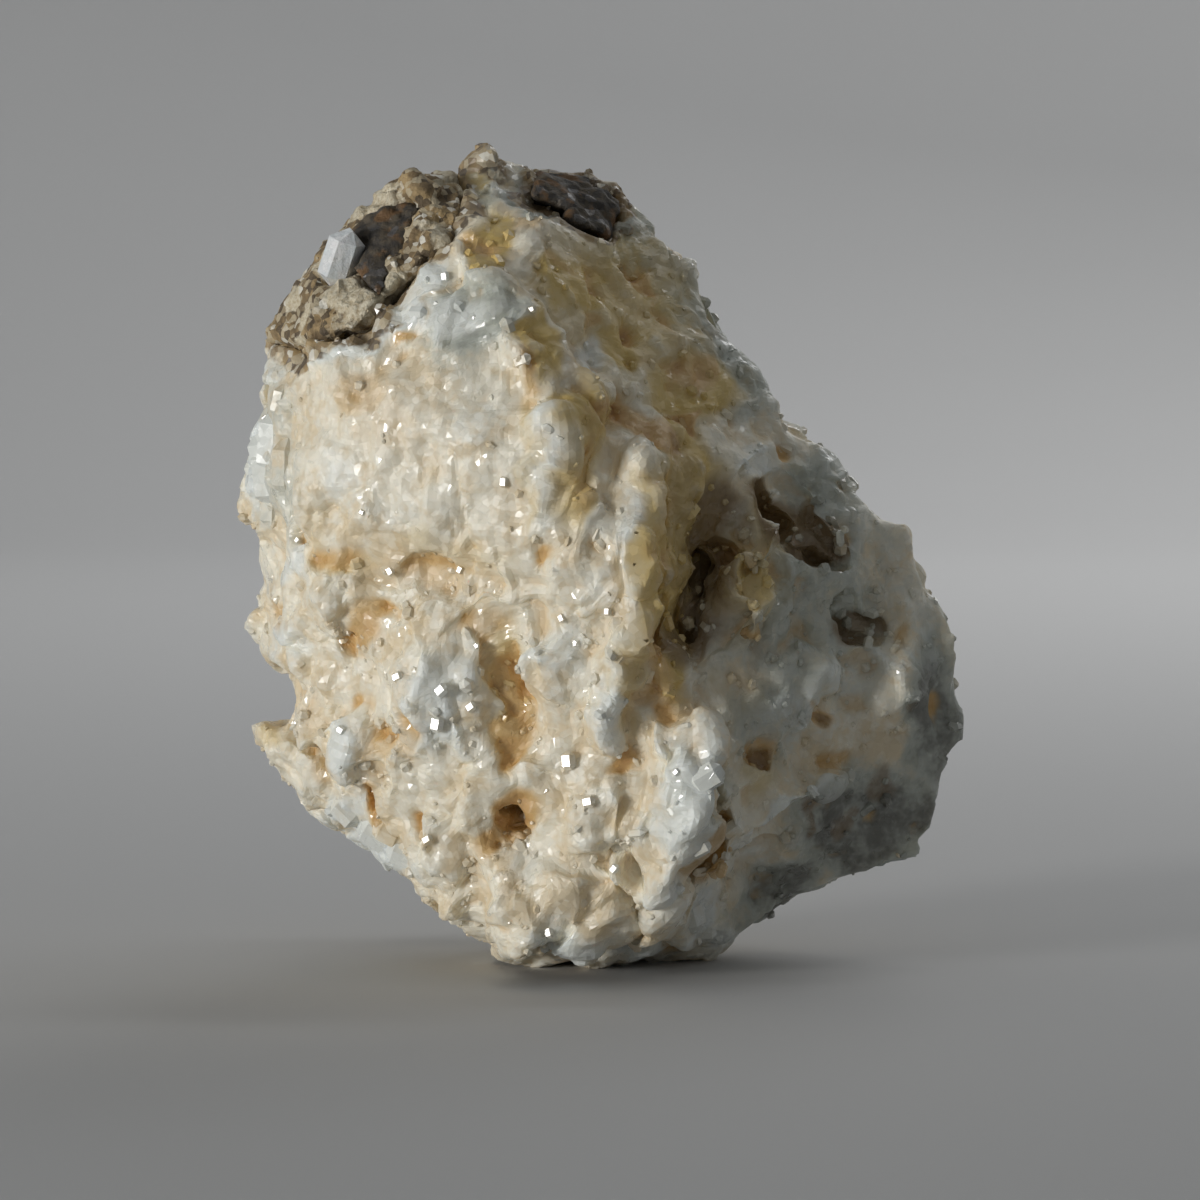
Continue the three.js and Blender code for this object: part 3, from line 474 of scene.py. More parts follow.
HONEYED = [
    (1.6, 48.0, 8.0, 6.0, -35, 0.75), (-1.4, 49.0, 3.6, 2.4, -28, 1.3), (1.4, 44.8, 2.6, 1.8, -30, 1.0),
    (-7.6, 52.0, 1.6, 3.4, 10, 1.1), (-8.6, 57.0, 2.0, 2.6, 0, 0.6), (-4.4, 45.6, 1.2, 3.4, 16, 1.1),
    (-4.6, 38.0, 0.7, 8.0, 0, 0.75), (-1.2, 40.4, 3.6, 3.0, 0, 1.1), (-1.9, 36.6, 2.3, 6.8, 0, 0.8),
    (3.3, 29.6, 0.8, 9.0, 0, 0.9), (2.2, 22.0, 1.3, 5.4, -8, 0.8), (4.9, 24.4, 1.5, 6.4, 8, 1.1),
    (7.0, 32.0, 2.6, 6.0, -10, 1.0), (6.4, 42.0, 4.4, 3.2, -35, 1.0), (10.4, 28.0, 3.4, 4.6, 0, 0.9),
    (5.6, 36.6, 2.4, 4.4, 0, 1.2), (4.6, 31.0, 1.8, 8.0, 0, 1.1), (9.6, 20.6, 3.0, 3.0, 0, 0.35),
    (11.4, 14.6, 2.4, 1.8, 0, 0.6), (-17.6, 29.6, 3.4, 1.2, 0, 0.6), (-11.0, 30.4, 6.0, 2.2, -6, 0.45),
    (-6.4, 20.6, 1.6, 6.0, 0, 0.7), (-6.4, 49.6, 2.0, 2.0, 0, 0.4), (-23.6, 16.2, 2.4, 1.4, 0, 0.6),
    (-20.4, 31.6, 1.4, 3.0, 0, 0.4), (5.2, 34.0, 2.0, 5.0, 0, 0.6), (12.0, 32.6, 2.4, 3.4, 20, 0.6),
]
# olive-grey and smoky patches: partly the stone's own tone, partly painted shade on the boss, the crest, the
# white patch, the right side and the lower right facet
GREYED_AND_SHADED = [
    (9.0, 45.0, 8.0, 3.6, -50, 0.7), (2.6, 52.0, 3.2, 3.6, -40, 0.7), (14.6, 27.0, 9.0, 9.0, -20, 0.6),
    (19.6, 10.0, 7.4, 5.6, 0, 1.0), (24.4, 18.0, 3.4, 8.0, 0, 0.95), (-4.4, 55.4, 3.0, 2.4, 0, 0.75),
    (-8.8, 57.4, 3.0, 3.4, 0, 0.9), (-9.2, 46.8, 4.6, 3.4, 10, 0.72), (6.6, 13.4, 3.4, 5.4, 0, 0.5),
    (-23.4, 38.0, 2.2, 9.0, 0, 0.35), (12.0, 18.0, 5.0, 5.0, 0, 0.55), (16.0, 35.0, 4.0, 4.0, 0, 0.6),
    (10.4, 28.0, 3.4, 4.4, 0, 0.75), (13.4, 5.4, 5.6, 3.2, 30, 0.95),
]
GRITTY = [
    (-21.0, 44.6, 2.6, 1.5, 10, 0.95), (-16.4, 46.2, 2.6, 0.9, 30, 0.7), (-9.2, 58.6, 2.2, 1.6, 0, 0.9),
    (-11.6, 51.3, 0.9, 0.8, 0, 0.8), (-3.4, 57.0, 2.4, 1.1, -5, 1.0), (-12.8, 55.6, 2.0, 2.0, 0, 0.6),
    (-7.0, 57.6, 1.4, 1.8, 20, 0.6), (0.8, 53.2, 1.0, 1.0, 0, 0.5), (-19.4, 47.0, 2.4, 1.0, 20, 0.5),
]
# painted shade in the recess right of the ridge and in the caves and pits on the right: path, width,
# strength
SHADED_HOLLOWS = [
    ([(11.8, 34.0), (13.6, 32.4), (16.2, 30.0)], 2.4, 1.1), ([(17.6, 24.6), (19.8, 25.2)], 1.8, 0.9),
    ([(8.6, 34.0), (7.2, 29.0), (6.0, 24.6)], 3.0, 0.95),
    ([(5.2, 37.6), (6.2, 31.0), (5.2, 25.0)], 2.8, 0.65), ([(8.4, 32.8), (8.8, 32.2)], 1.3, 0.9),
    ([(11.0, 15.8), (12.0, 15.2)], 1.1, 0.8), ([(16.0, 18.8), (16.2, 18.6)], 0.9, 0.8),
    ([(20.0, 14.4), (21.0, 12.4)], 1.5, 0.8), ([(17.4, 9.4), (18.4, 11.2)], 1.0, 0.8),
    ([(15.0, 10.2), (15.6, 12.2)], 0.9, 0.8), ([(8.8, 12.0), (7.2, 9.0), (5.8, 6.8)], 1.6, 0.6),
    ([(10.0, 25.4), (11.6, 24.4)], 2.0, 0.6),
]


def laid(places):
    """The strongest of the soft ovals at each point of the front."""
    total = np.zeros(len(start))
    for x, z, wide, high, turn, strength in places:
        total = np.maximum(total, strength * patch(tint, x, z, wide, high, turn))
    return total * front


# a white vein along the lower rim of the ore, and a rusty line at the head of the trough
VEIN, VEIN_WIDTH = [(-12.0, 49.4), (-15.4, 46.6), (-20.0, 43.9)], 1.1
STAIN_LINE, STAIN_WIDTH = [(-0.4, 41.2), (2.0, 39.6), (4.6, 38.0)], 1.3
shade = np.zeros(len(start))
for path, width, strength in SHADED_HOLLOWS:
    shade = np.maximum(shade, strength * ramp(along(tint, path, width), 0, 0.8) * front)
by_ore = 1 - ramp(ore_gap, 0.3, 2.2)
by_galena = 1 - ramp(galena_gap, 0.3, 2.0)
vein = ramp(along(tint, VEIN, VEIN_WIDTH) * front, 0, 0.6)
stain_line = ramp(along(tint, STAIN_LINE, STAIN_WIDTH) * front, 0, 0.7)
back = 1 - front
scattered = ramp(cloud(start, size=6.5, salt=51) + 0.4 * cloud(start, size=2.2, salt=52), 0.0, 0.9) * back
stained = ramp(cloud(start, size=9, salt=53) + 0.3 * cloud(start, size=3, salt=54), -0.1, 0.7) * back
# milky white patches and the white vein, plus painted highlight that whitens edges and proud lumps
milk_and_light = np.maximum(laid(MILKY_AND_LIT), 0.8 * vein) + 0.12 * edge + 0.2 * proud * (1 - 0.5 * broad)
milk_and_light = milk_and_light + 0.5 * scattered * edge
rust = np.maximum(laid(RUSTY), 0.9 * stain_line) + 0.35 * shallow * deep + 0.42 * low_lying
rust = rust + 0.7 * ramp(scattered, 0.5, 1) * shallow + 0.5 * eaten
unrusted = 1 - 0.6 * np.clip(rust, 0, 1)
masks = {
    "milk_and_light": milk_and_light,
    "rust": rust,
    "honey": laid(HONEYED) + 0.5 * stained * (1 - edge),
    # grey: olive-grey tone, partly painted shade on the right side, the boss and the crest
    "grey_and_shade": laid(GREYED_AND_SHADED) + 0.4 * stained,
    "ore": np.maximum(np.maximum(laid(GRITTY), 0.75 * by_ore), 0.8 * by_galena),
    # depth: painted shade in deep hollows, pits and shaded recesses, and dark stain beside the galena
    "depth": np.maximum(np.maximum(0.8 * deep * unrusted, shade), 0.75 * by_galena),
}
for name, values in masks.items():
    mass.paint(name, values)
mass_low, mass_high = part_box("anglesite_mass")
mass.finish(mass_low, mass_high)


class Strand:
    """A node's output, so that a finish is written as plain sums on its masks."""

    def __init__(self, tree, made=None, output=0):
        self.tree = tree
        self.made = made
        self.socket = made.outputs[output] if made else None

    def node(self, kind, settings, sockets, output=0):
        made = self.tree.nodes.new(kind)
        for name, value in settings.items():
            setattr(made, name, value)
        for name, value in sockets.items():
            if isinstance(value, Strand):
                self.tree.links.new(value.socket, made.inputs[name])
            else:
                made.inputs[name].default_value = value
        return Strand(self.tree, made, output)

    def other(self, output):
        """Another output of the same node."""
        return Strand(self.tree, self.made, output)

    def sum(self, operation, a, b=0.0):
        return self.node("ShaderNodeMath", {"operation": operation}, {0: a, 1: b})

    def __add__(self, other):
        return self.sum("ADD", self, other)

    __radd__ = __add__

    def __sub__(self, other):
        return self.sum("SUBTRACT", self, other)

    def __rsub__(self, other):
        return self.sum("SUBTRACT", other, self)

    def __mul__(self, other):
        return self.sum("MULTIPLY", self, other)

    __rmul__ = __mul__

    def within(self, low, high):
        """0 below low and 1 above high."""
        sockets = {"Value": self, "From Min": low, "From Max": high}
        return self.node("ShaderNodeMapRange", {"interpolation_type": "SMOOTHSTEP"}, sockets)

    def blend(self, under, over):
        """From one colour to another by this mask."""
        settings = {"data_type": "RGBA", "clamp_factor": True}
        return self.node("ShaderNodeMix", settings, {0: self, 6: under, 7: over}, 2)

    def mask(self, name):
        return self.node("ShaderNodeAttribute", {"attribute_name": name}, {}, "Fac")

    def place(self):
        """The place on the piece, in millimetres."""
        spot = self.node("ShaderNodeTexCoord", {}, {}, "Object")
        return self.node("ShaderNodeVectorMath", {"operation": "SCALE"}, {0: spot, "Scale": MM})

    def specks(self, place, size, detail=3, roughness=0.55):
        sockets = {"Vector": place, "Scale": 1 / size, "Detail": detail, "Roughness": roughness}
        return self.node("ShaderNodeTexNoise", {}, sockets, "Fac")

    def facets(self, place, size):
        """Flat tilted crystal faces one size across, as a height, and a number for each face."""
        cell = {"Vector": place, "Scale": 1 / size, "Randomness": 1.0}
        centre = self.node("ShaderNodeTexVoronoi", {"feature": "F1"}, cell, "Position")
        colour = centre.other("Color")
        across = self.node("ShaderNodeVectorMath", {"operation": "SUBTRACT"}, {0: place, 1: centre})
        tilt = self.node("ShaderNodeVectorMath", {"operation": "SUBTRACT"}, {0: colour, 1: (0.5, 0.5, 0.5)})
        slope = {0: across, 1: tilt}
        height = self.node("ShaderNodeVectorMath", {"operation": "DOT_PRODUCT"}, slope, "Value")
        number = self.node("ShaderNodeSeparateColor", {}, {0: colour}, 0)
        return height, number

    def bump(self, height, depth, under=None):
        """A relief that is a depth in millimetres tall where the height is 1."""
        sockets = {"Height": height, "Distance": depth / MM, "Strength": 1.0}
        if under is not None:
            sockets["Normal"] = under
        return self.node("ShaderNodeBump", {}, sockets, "Normal")


def finish_of(name):
    """A new finish: its material, the strand that its nodes are drawn from, and its shader's sockets."""
    material = bpy.data.materials.new(name)
    material.use_nodes = True
    material.node_tree.nodes["Principled BSDF"].subsurface_method = "BURLEY"
    sockets = material.node_tree.nodes["Principled BSDF"].inputs
    return material, Strand(material.node_tree), sockets


def wire(sockets, links):
    for name, strand in links.items():
        strand.tree.links.new(strand.socket, sockets[name])


DARK_OXIDE, OXIDE = (0.17, 0.12, 0.065, 1), (0.4, 0.29, 0.15, 1)
BLACK_GRAIN, TAN_GRAIN, QUARTZ_GRAIN = (0.09, 0.07, 0.05, 1), (0.52, 0.45, 0.32, 1), (0.74, 0.72, 0.65, 1)
# the grains in the oxide: the numbers between which they begin and are full, how strong, and their colour
OXIDE_GRAINS = [
    (0.24, 0.16, 0.8, BLACK_GRAIN),
    (0.55, 0.75, 0.75, TAN_GRAIN),
    (0.88, 0.94, 0.8, QUARTZ_GRAIN),
]


def gritty_colour(patches, number):
    """Brown iron oxide with dark and pale grains, from soft patches and a number for each grain."""
    colour = patches.within(0.36, 0.62).blend(DARK_OXIDE, OXIDE)
    for begins, full, strength, tone in OXIDE_GRAINS:
        colour = (number.within(begins, full) * strength).blend(colour, tone)
    return colour


# sizes of the mottling, the specks and the crystal faces, and the layers of colour over the tan and cream:
# mask, how ragged its rim is, where it starts and where it is full, and the colour
MOTTLE_SIZE, SPECK_SIZE, FACET_SIZE = 3.0, 0.6, 0.6
LAYERS = [
    # grey: olive-grey tone and painted shade, darkest as smoke on the crest, the boss and the lower right
    # facet
    ("grey_and_shade", 0.7, 0.05, 0.7, OLIVE_GREY_AND_SHADE),
    ("grey_and_shade", 1.1, 0.6, 1.15, SMOKE_AND_SHADE),
    ("honey", 0.7, 0.1, 1.1, HONEY),
    # milk: milky white, and painted light on edges, proud lumps and shaded lobes
    ("milk_and_light", 0.8, 0.1, 0.95, MILK_AND_HIGHLIGHT_WHITE),
    ("rust", 0.6, 0.1, 1.0, RUST_ORANGE),
    ("rust", 0.6, 0.75, 1.35, RUST_BROWN),
]
SPECK_RAGGED, MOTTLE_RAGGED = 0.5, 0.9
FACE_RELIEF, FACE_PALE, FACE_SHINE, SPECK_DULLS = 0.3, 0.3, 0.3, 0.2
ANGLESITE_IOR = 1.7
GLOW_DEPTH, GLOW_BY_COLOUR = 0.0016, (1.0, 0.85, 0.6)


def anglesite_finish(name, gloss, crisp, glow):
    """Waxy where gloss is high and crisp is 1, glassy where both are low. Glow is how much light gets in."""
    material, s, sockets = finish_of(name)
    place = s.place()
    mottle = s.specks(place, size=MOTTLE_SIZE, detail=2, roughness=0.5)
    speckle = s.specks(place, size=SPECK_SIZE, detail=1, roughness=0.55)
    face_height, face_number = s.facets(place, FACET_SIZE)
    ragged = (speckle - 0.5) * SPECK_RAGGED + (mottle - 0.5) * MOTTLE_RAGGED
    colour = (mottle + (speckle - 0.5) * 0.3).within(0.34, 0.6).blend(TAN, CREAM)
    colour = (face_number.within(0.5, 1.0) * FACE_PALE).blend(colour, PALE)
    for mask, rim, begins, full, tone in LAYERS:
        colour = (s.mask(mask) + ragged * rim).within(begins, full).blend(colour, tone)
    gritty = gritty_colour(mottle, face_number)
    colour = (s.mask("ore") + ragged * 0.9).within(0.3, 0.55).blend(colour, gritty)
    # painted shade in the hollows and recesses, and the stain beside the galena, laid on as dark brown
    colour = (s.mask("depth") + ragged * 0.3).within(0.3, 1.15).blend(colour, SHADE_AND_STAIN_BROWN)
    shine = face_number.within(0.7, 0.95) * FACE_SHINE
    roughness = gloss + speckle * SPECK_DULLS - shine
    grit = s.bump(face_height, FACE_RELIEF * crisp)
    wire(sockets, {"Base Color": colour, "Roughness": roughness, "Normal": grit})
    sockets["IOR"].default_value = ANGLESITE_IOR
    sockets["Subsurface Weight"].default_value = glow
    sockets["Subsurface Radius"].default_value = GLOW_BY_COLOUR
    sockets["Subsurface Scale"].default_value = GLOW_DEPTH
    return material


mass.mesh.materials.clear()
mass.mesh.materials.append(anglesite_finish("waxy_anglesite", gloss=0.42, crisp=1.0, glow=0.5))
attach(mass.piece, "root")
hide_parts("anglesite_mass")


# ---- the druse ----
# Small glassy anglesite crystals that stud the crust and line its hollows, each one rooted in the mass:
# flattened prisms with chisel ends, from half a millimetre to five long.
DRUSE_COUNT, DRUSE_SEED, DRUSE_LENGTH = 2200, 4, 1.6
SMALLEST, LARGER_BY, FEW_ARE_LARGE = 0.35, 0.75, 2.5
THINNEST, THICKER_BY = 0.5, 0.4
OUTWARD, ASKEW = 0.5, 0.6
# how readily crystals grow anywhere, in dimples, in hollows and on edges, and how bare the broad face stays
ANYWHERE, IN_DIMPLES, IN_HOLLOWS, ON_EDGES, BARE_FACE = 0.25, 1.6, 0.9, 0.4, 0.8
DRUSE_SINK, FLASH_LIFT, BLADE_SINK, CLEAR_OF_FLOOR = 0.3, 0.05, 0.5, 1.6
LEFT_EDGE, TO_LIGHT = -20, 3
# how much of the rust and of the painted shade the crystals keep
LESS_RUST_AND_SHADE = 0.6
# crystals turned half-way between the key lamp and the camera, so that they glint: x, z, size
FLASHES = [
    (-14.6, 22.0, 0.9), (-11.0, 21.5, 1.1), (-9.2, 19.9, 0.9), (-11.2, 18.1, 1.3), (-2.6, 15.7, 1.4),
    (-0.5, 13.8, 1.1), (-11.6, 10.0, 0.9), (0.9, 8.9, 0.8), (-6.9, 35.2, 0.9), (-15.1, 28.8, 0.8),
    (-18.7, 18.0, 0.8), (7.7, 16.0, 1.3), (-3.2, 3.6, 0.9), (-10.2, 29.0, 0.7), (-3.1, 26.2, 0.7),
    (0.4, 26.2, 0.7), (-24.2, 39.9, 0.9), (-25.0, 37.4, 1.0), (-11.6, 54.2, 0.7), (-10.7, 50.2, 0.8),
    (-4.2, 47.4, 0.6), (-0.4, 44.1, 0.7), (9.1, 9.5, 0.8), (4.7, 15.4, 0.6), (20.8, 13.1, 0.6),
    (10.6, 35.9, 0.6), (-17.0, 33.0, 0.5), (-21.6, 30.8, 0.5), (-8.6, 24.0, 0.5),
]
FLASH_SCALE, FLASH_LENGTH, FLASH_WIDTH, THICKNESS = 0.72, 1.3, 1.1, 0.8
# larger blades: x, z, length, width, and how far across and up they point; they lean a little to the front
FORWARD = -0.1
BLADES = [
    (-24.6, 35.2, 4.4, 2.2, (-0.12, 1)), (-24.0, 38.4, 4.8, 2.4, (0.1, 1)),
    (-25.0, 37.0, 3.4, 2.0, (-0.25, 1)), (-23.6, 41.2, 2.4, 1.3, (0.22, 1)),
    (-24.4, 33.4, 3.0, 1.8, (0.05, 1)), (-23.2, 36.6, 4.2, 2.0, (0.02, 1)),
    (-22.8, 43.6, 1.9, 1.0, (0.35, 1)), (7.9, 15.6, 2.6, 1.9, (0.8, 0.5)), (7.2, 3.8, 3.2, 1.8, (-0.25, 1)),
    (9.4, 10.2, 2.0, 1.3, (0.8, 0.6)), (-16.6, 9.4, 3.2, 2.2, (0.9, -0.55)),
    (-18.2, 10.8, 2.6, 1.8, (0.7, -0.7)), (-14.6, 8.2, 2.8, 1.9, (1, -0.4)),
    (-15.8, 10.2, 2.2, 1.6, (0.6, -0.3)),
]


# a crystal of size 1: the corners of its waist and of its chisel edge, and where they lie along it
WAIST = [(0.5, 0), (0.275, 0.5), (-0.275, 0.5), (-0.5, 0), (-0.275, -0.5), (0.275, -0.5)]
CHISEL = [(0.175, 0.06), (-0.175, -0.06)]
WAIST_AT, CHISEL_AT = 0.3, 0.5


def prisms(centres, lengths, widths, thicks, axes, outs):
    """Corners and faces of flattened prisms with chisel ends, one for each centre."""
    axes = unit(axes)
    outs = unit(outs - np.sum(outs * axes, axis=1, keepdims=True) * axes)
    across = np.cross(axes, outs)
    shape = []
    for end in (-1, 1):
        shape += [(u, v, end * WAIST_AT) for u, v in WAIST]
        shape += [(u, v, end * CHISEL_AT) for u, v in CHISEL]
    shape = np.array(shape)
    points = centres[:, None] + (
        shape[None, :, :1] * widths[:, None, None] * across[:, None]
        + shape[None, :, 1:2] * thicks[:, None, None] * outs[:, None]
        + shape[None, :, 2:] * lengths[:, None, None] * axes[:, None]
    )
    walls = [(k, (k + 1) % 6, 8 + (k + 1) % 6, 8 + k) for k in range(6)]
    cap = [(0, 1, 6), (1, 2, 7, 6), (2, 3, 7), (3, 4, 7), (4, 5, 6, 7), (5, 0, 6)]
    faces = walls + [f[::-1] for f in cap] + [tuple(8 + v for v in f) for f in cap]
    return points, faces


def crystal_group(name, points, faces):
    """One piece out of many crystals, in metres."""
    count, corners_each = points.shape[:2]
    every = [tuple(v + k * corners_each for v in face) for k in range(count) for face in faces]
    mesh = bpy.data.meshes.new(name)
    mesh.from_pydata((points.reshape(-1, 3) / MM).tolist(), [], every)
    piece = bpy.data.objects.new(name, mesh)
    bpy.context.scene.collection.objects.link(piece)
    return piece


LOOK_WITHIN = 0.6


def on_front(x, z):
    """The point of the skin that shows at a place on the front."""
    near = np.hypot(mass.points[:, 0] - x - ON_FRONT, mass.points[:, 2] - z)
    depths = np.where(near < LOOK_WITHIN, mass.points[:, 1], np.inf)
    return np.argmin(depths if np.isfinite(depths.min()) else near)


def unit(vectors):
    return vectors / np.linalg.norm(vectors, axis=1, keepdims=True)


dice = np.random.default_rng(DRUSE_SEED)
now = mass.points
out = np.zeros(now.size)
mass.mesh.vertices.foreach_get("normal", out)
out = unit(spread(out.reshape(-1, 3), mass.edges, 2))
likely = (ANYWHERE + IN_DIMPLES * shallow + IN_HOLLOWS * deep + ON_EDGES * edge) * (1 - BARE_FACE * broad)
likely *= now[:, 2] > CLEAR_OF_FLOOR
chosen = dice.choice(len(now), DRUSE_COUNT, replace=False, p=likely / likely.sum())
size = SMALLEST + LARGER_BY * dice.random(DRUSE_COUNT) ** FEW_ARE_LARGE
axes = out[chosen] * OUTWARD + dice.normal(size=(DRUSE_COUNT, 3)) * ASKEW
outs = dice.normal(size=(DRUSE_COUNT, 3))
centres = now[chosen] - out[chosen] * (DRUSE_SINK * size)[:, None]
lengths, widths = size * DRUSE_LENGTH, size
thicks = size * (THINNEST + THICKER_BY * dice.random(DRUSE_COUNT))

flash_roots = np.array([on_front(x, z) for x, z, _ in FLASHES])
flash_size = FLASH_SCALE * np.array([breadth for _, _, breadth in FLASHES])
to_key = unit(np.array(KEY_LAMP) * MM - now[flash_roots])
to_eye = unit(np.array(camera.location) * MM - now[flash_roots])
mirror = unit(to_key + to_eye)
spin = np.cross(mirror, dice.normal(size=mirror.shape))
flash_centres = now[flash_roots] + FLASH_LIFT * out[flash_roots]

blade_roots = np.array([on_front(x, z) for x, z, *_ in BLADES])
blade_length = np.array([length for _, _, length, _, _ in BLADES])
blade_width = np.array([width for _, _, _, width, _ in BLADES])
blade_axis = np.array([(run, FORWARD, rise) for *_, (run, rise) in BLADES])
blade_centres = now[blade_roots] - BLADE_SINK * out[blade_roots]
# the blades on the left edge turn their faces to the light
blade_face = out[blade_roots] + np.where(now[blade_roots, :1] < LEFT_EDGE, TO_LIGHT, 0) * mirror[:1]

chosen = np.concatenate([chosen, flash_roots, blade_roots])
points, faces = prisms(
    np.concatenate([centres, flash_centres, blade_centres]),
    np.concatenate([lengths, flash_size * FLASH_LENGTH, blade_length]),
    np.concatenate([widths, flash_size * FLASH_WIDTH, blade_width]),
    np.concatenate([thicks, flash_size * THICKNESS, blade_width * THICKNESS]),
    np.concatenate([axes, spin, blade_axis]),
    np.concatenate([outs, mirror, blade_face]),
)
points = np.clip(points, np.array(cad_box[0]) * MM, np.array(cad_box[1]) * MM)
druse = crystal_group("druse_crystals", points, faces)
# the crystals take the colours of the mass at their roots, with less rust and less painted shade
for name, values in masks.items():
    own = np.clip(values[chosen] * (LESS_RUST_AND_SHADE if name in ("rust", "depth") else 1), 0, 1)
    layer = druse.data.attributes.new(name, "FLOAT", "POINT")
    layer.data.foreach_set("value", np.repeat(own, points.shape[1]).astype(np.float32))
druse.data.materials.append(anglesite_finish("glassy_anglesite", gloss=0.16, crisp=0.3, glow=0.0))
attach(druse, "root")


# ---- the gossan ----
# The brown, granular remnant of the weathered ore: iron oxide that cements sand-sized grains of quartz and
# ore. It fills its seat on the upper left shoulder and crumbles at its rim.
GOSSAN_GRID = 0.25
SWELL_SIZE, SWELL, CRUMB_SIZE, CRUMB, CRUMB_CREASE, GRAIN_SIZE, GRAIN = 2.3, 0.5, 1.2, 0.18, 0.12, 0.6, 0.12
STANDS_OUT, GOSSAN_IOR = 0.35, 1.5
GRIT_SIZE, PATCH_SIZE, CRUMB_FACET = 0.35, 1.6, 0.5
DULL, GRAIN_SHINE = 0.85, 0.45
PALE_CRUMB, CRACK_SHADE_BROWN = ((0.46, 0.38, 0.25, 1), (0.68, 0.63, 0.5, 1)), (0.1, 0.07, 0.04, 1)
PALE_RIM, PALE_RIM_SHARE = (-15.6, 48.2, 5.0, 1.8, 32), 0.7
gossan = Skin("gossan_crumb", [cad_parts["ore_matrix"]], GOSSAN_GRID)
gossan.soften(3)
start = gossan.points.copy()
swell, _ = blocks(start, size=SWELL_SIZE, salt=61)
crumb, crumb_crease = blocks(start, size=CRUMB_SIZE, salt=71)
facing = spread(gossan.normals(), gossan.edges, 6)
relief = STANDS_OUT + SWELL * swell + CRUMB * crumb
relief += GRAIN * cloud(start, size=GRAIN_SIZE, salt=72) - CRUMB_CREASE * (1 - ramp(crumb_crease, 0, 0.25))
gossan.raise_by(relief, facing)
gossan.soften(1)
# the hollow mask marks where shade is painted into the cracks
gossan.paint("hollow", ramp(gossan.hollow(8), -0.05, 0.25))
pale_rim = patch(start, *PALE_RIM) * ramp(-facing[:, 1], 0.0, 0.3)
pale = ramp(cloud(start, size=2.2, salt=73) + 0.5 * cloud(start, size=0.9, salt=74), 0.0, 0.5)
gossan.paint("pale", pale + PALE_RIM_SHARE * pale_rim)


def gossan_finish():
    """Dull iron oxide with pale patches, a few grains that shine, and painted shade in its cracks."""
    material, s, sockets = finish_of("crumbly_gossan")
    place = s.place()
    grit = s.specks(place, size=GRIT_SIZE, detail=4, roughness=0.65)
    height, number = s.facets(place, CRUMB_FACET)
    colour = gritty_colour(s.specks(place, size=PATCH_SIZE, detail=3), number)
    cream = grit.within(0.3, 0.7).blend(*PALE_CRUMB)
    colour = (s.mask("pale") + (grit - 0.5) * 0.6).within(0.3, 0.8).blend(colour, cream)
    # painted shade in the cracks
    colour = (s.mask("hollow") + grit * 0.4 - 0.2).within(0.4, 1.1).blend(colour, CRACK_SHADE_BROWN)
    normal = s.bump(grit, 0.15, s.bump(height, 0.35))
    roughness = DULL - number.within(0.8, 0.9) * GRAIN_SHINE
    wire(sockets, {"Base Color": colour, "Roughness": roughness, "Normal": normal})
    sockets["IOR"].default_value = GOSSAN_IOR
    return material


gossan.finish(cad_box[0], cad_box[1])
gossan.mesh.materials.clear()
gossan.mesh.materials.append(gossan_finish())
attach(gossan.piece, "root")
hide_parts("ore_matrix")


# ---- the galena grains ----
# Two grains of lead sulphide left in the ore, one in the gossan and one on the crest. They cleave in square
# steps, and their lead-grey shine has tarnished almost black.
TARNISH, BROWN_TARNISH = (0.04, 0.035, 0.03, 1), (0.1, 0.08, 0.055, 1)
RUST_BLOOM, LEAD_GREY = (0.16, 0.09, 0.04, 1), (0.22, 0.22, 0.23, 1)
GALENA_GRID, STEP_WIDTH, STEP_HEIGHT, STEP_DRIFT = 0.22, 1.1, 0.08, 0.35
GALENA_RISE, GALENA_LUMPS, GALENA_GRIT = 0.2, 0.25, 0.12
CLEAVED_FACET, TARNISHED, CLEAVAGE_SHINE, BARE_METAL = 0.7, 0.75, 0.3, 0.5
# the two grains and the way that the first of their square faces looks
GRAINS = (("galena_shoulder_grain", (0.6, 0.3, 0.74)), ("galena_crest_grain", (0.3, 0.8, 0.5)))


def galena_finish():
    """Near-black tarnish with rusty blotches, and a few cleavage faces that still look like metal."""
    material, s, sockets = finish_of("tarnished_galena")
    place = s.place()
    tarnish = s.specks(place, size=0.9, detail=4, roughness=0.6)
    height, number = s.facets(place, CLEAVED_FACET)
    rust = s.specks(place, size=1.7, detail=3, roughness=0.5)
    colour = tarnish.within(0.4, 0.65).blend(TARNISH, BROWN_TARNISH)
    colour = rust.within(0.52, 0.64).blend(colour, RUST_BLOOM)
    colour = (number.within(0.85, 0.95) * 0.4).blend(colour, LEAD_GREY)
    roughness = TARNISHED - number.within(0.75, 0.95) * CLEAVAGE_SHINE
    normal = s.bump(tarnish, 0.2, s.bump(height, 0.3))
    metal = number.within(0.8, 0.95) * BARE_METAL
    wire(sockets, {"Base Color": colour, "Roughness": roughness, "Metallic": metal, "Normal": normal})
    return material


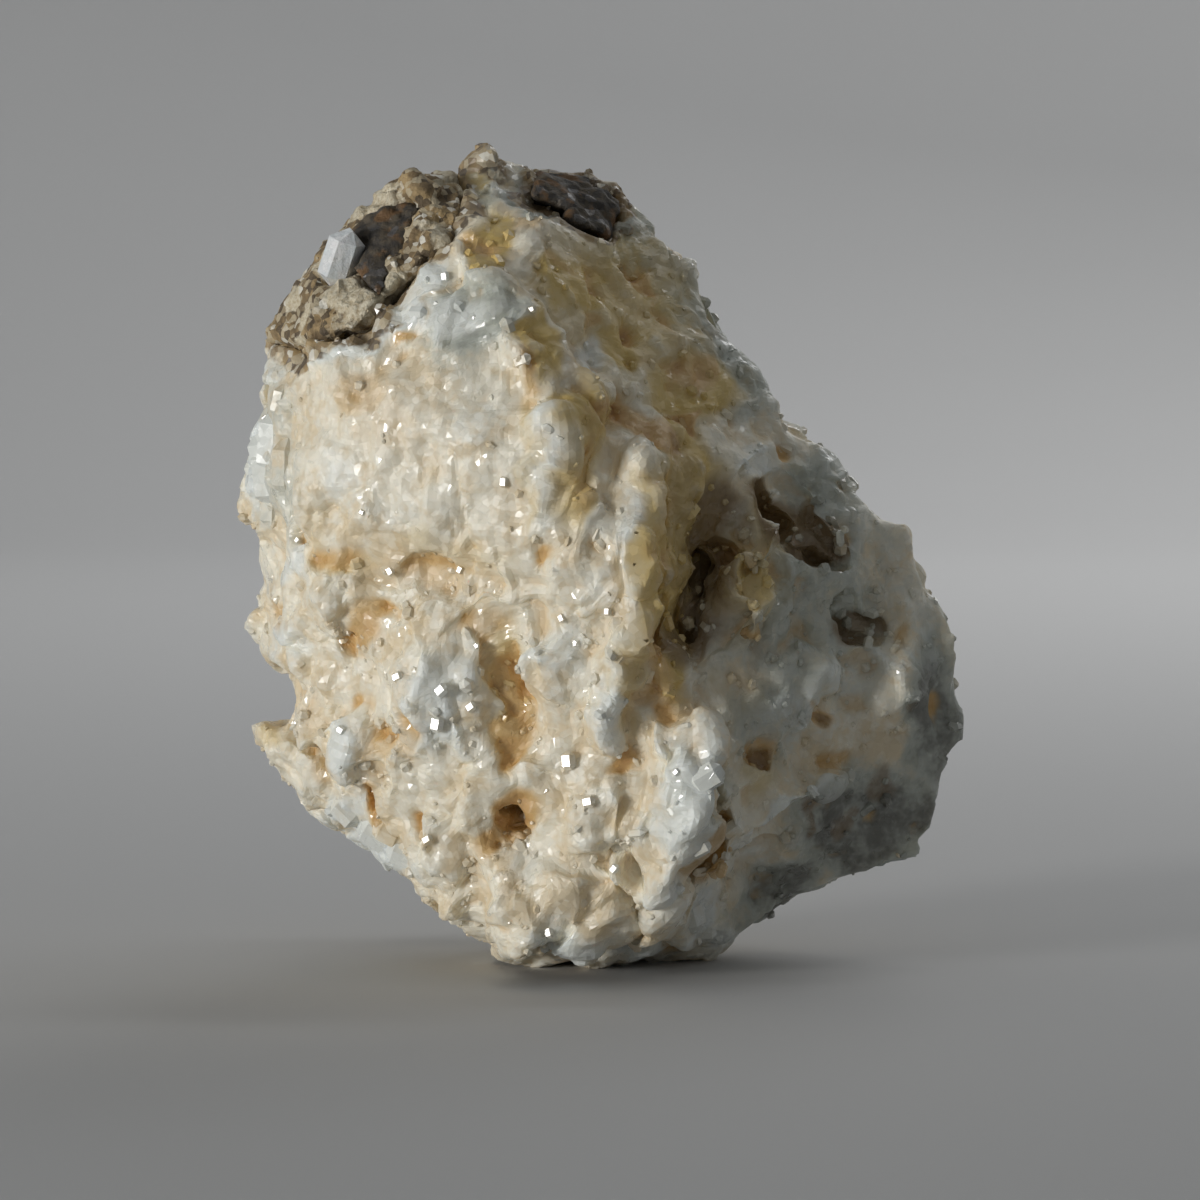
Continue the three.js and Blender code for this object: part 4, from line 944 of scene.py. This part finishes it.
galena = galena_finish()
for node, square in GRAINS:
    grain_skin = Skin(node.replace("galena", "cleaved_galena"), [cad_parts[node]], GALENA_GRID)
    grain_skin.soften(2)
    start = grain_skin.points.copy()
    axis = np.array(square) / np.linalg.norm(square)
    second_axis = np.cross(axis, (0, 0, 1))
    second_axis /= np.linalg.norm(second_axis)
    steps = np.zeros(len(start))
    for direction in (axis, second_axis, np.cross(axis, second_axis)):
        level = start @ direction / STEP_WIDTH + STEP_DRIFT * cloud(start, size=2.5, salt=81)
        steps += STEP_HEIGHT * (np.abs(level - np.round(level)) * 2 - 0.5)
    relief = GALENA_RISE + steps + GALENA_LUMPS * cloud(start, size=1.1, salt=82)
    relief = relief + GALENA_GRIT * cloud(start, size=0.5, salt=83)
    grain_skin.raise_by(relief, spread(grain_skin.normals(), grain_skin.edges, 4))
    grain_skin.finish(cad_box[0], cad_box[1])
    grain_skin.mesh.materials.clear()
    grain_skin.mesh.materials.append(galena)
    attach(grain_skin.piece, "root")
    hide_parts(node)


# ---- the clear crystal ----
# One pale, milky anglesite crystal that stands by itself in the gossan, slanted up to the right, with faint
# growth marks on its faces. It lets only part of the light through.
LONG, WIDE, THICK = (np.array([measure]) for measure in (4.5, 2.3, 2.4))
POINTS_UP, LOOKS_OUT = np.array([[0.35, -0.2, 1.0]]), np.array([[-1.1, -1.0, 0.2]])
CLEAR_BLUE, CLEAR_WHITE = (0.88, 0.94, 0.97, 1), (0.98, 0.99, 1.0, 1)
SEE_THROUGH, CLEAR_IOR = 0.3, 1.88
POLISH, FROSTED = 0.08, 0.3
MARK_SIZE, MARK_DEPTH = 0.5, 0.15
low, high = (np.array(corner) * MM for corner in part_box("clear_crystal"))
middle = ((low + high) / 2)[None]
points, faces = prisms(middle, LONG, WIDE, THICK, POINTS_UP, LOOKS_OUT)
clear = crystal_group("clear_crystal_prism", points, faces)


def clear_finish():
    """Milky and smooth, rougher and whiter in soft patches, and partly see-through."""
    material, s, sockets = finish_of("clear_anglesite")
    place = s.place()
    cloudy = s.specks(place, size=1.2, detail=3)
    colour = cloudy.within(0.35, 0.65).blend(CLEAR_BLUE, CLEAR_WHITE)
    roughness = cloudy.within(0.4, 0.7) * FROSTED + POLISH
    marks = s.bump(s.specks(place, MARK_SIZE), MARK_DEPTH)
    wire(sockets, {"Base Color": colour, "Roughness": roughness, "Normal": marks})
    sockets["Transmission Weight"].default_value = SEE_THROUGH
    sockets["IOR"].default_value = CLEAR_IOR
    return material


clear.data.materials.append(clear_finish())
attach(clear, "root")
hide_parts("clear_crystal")
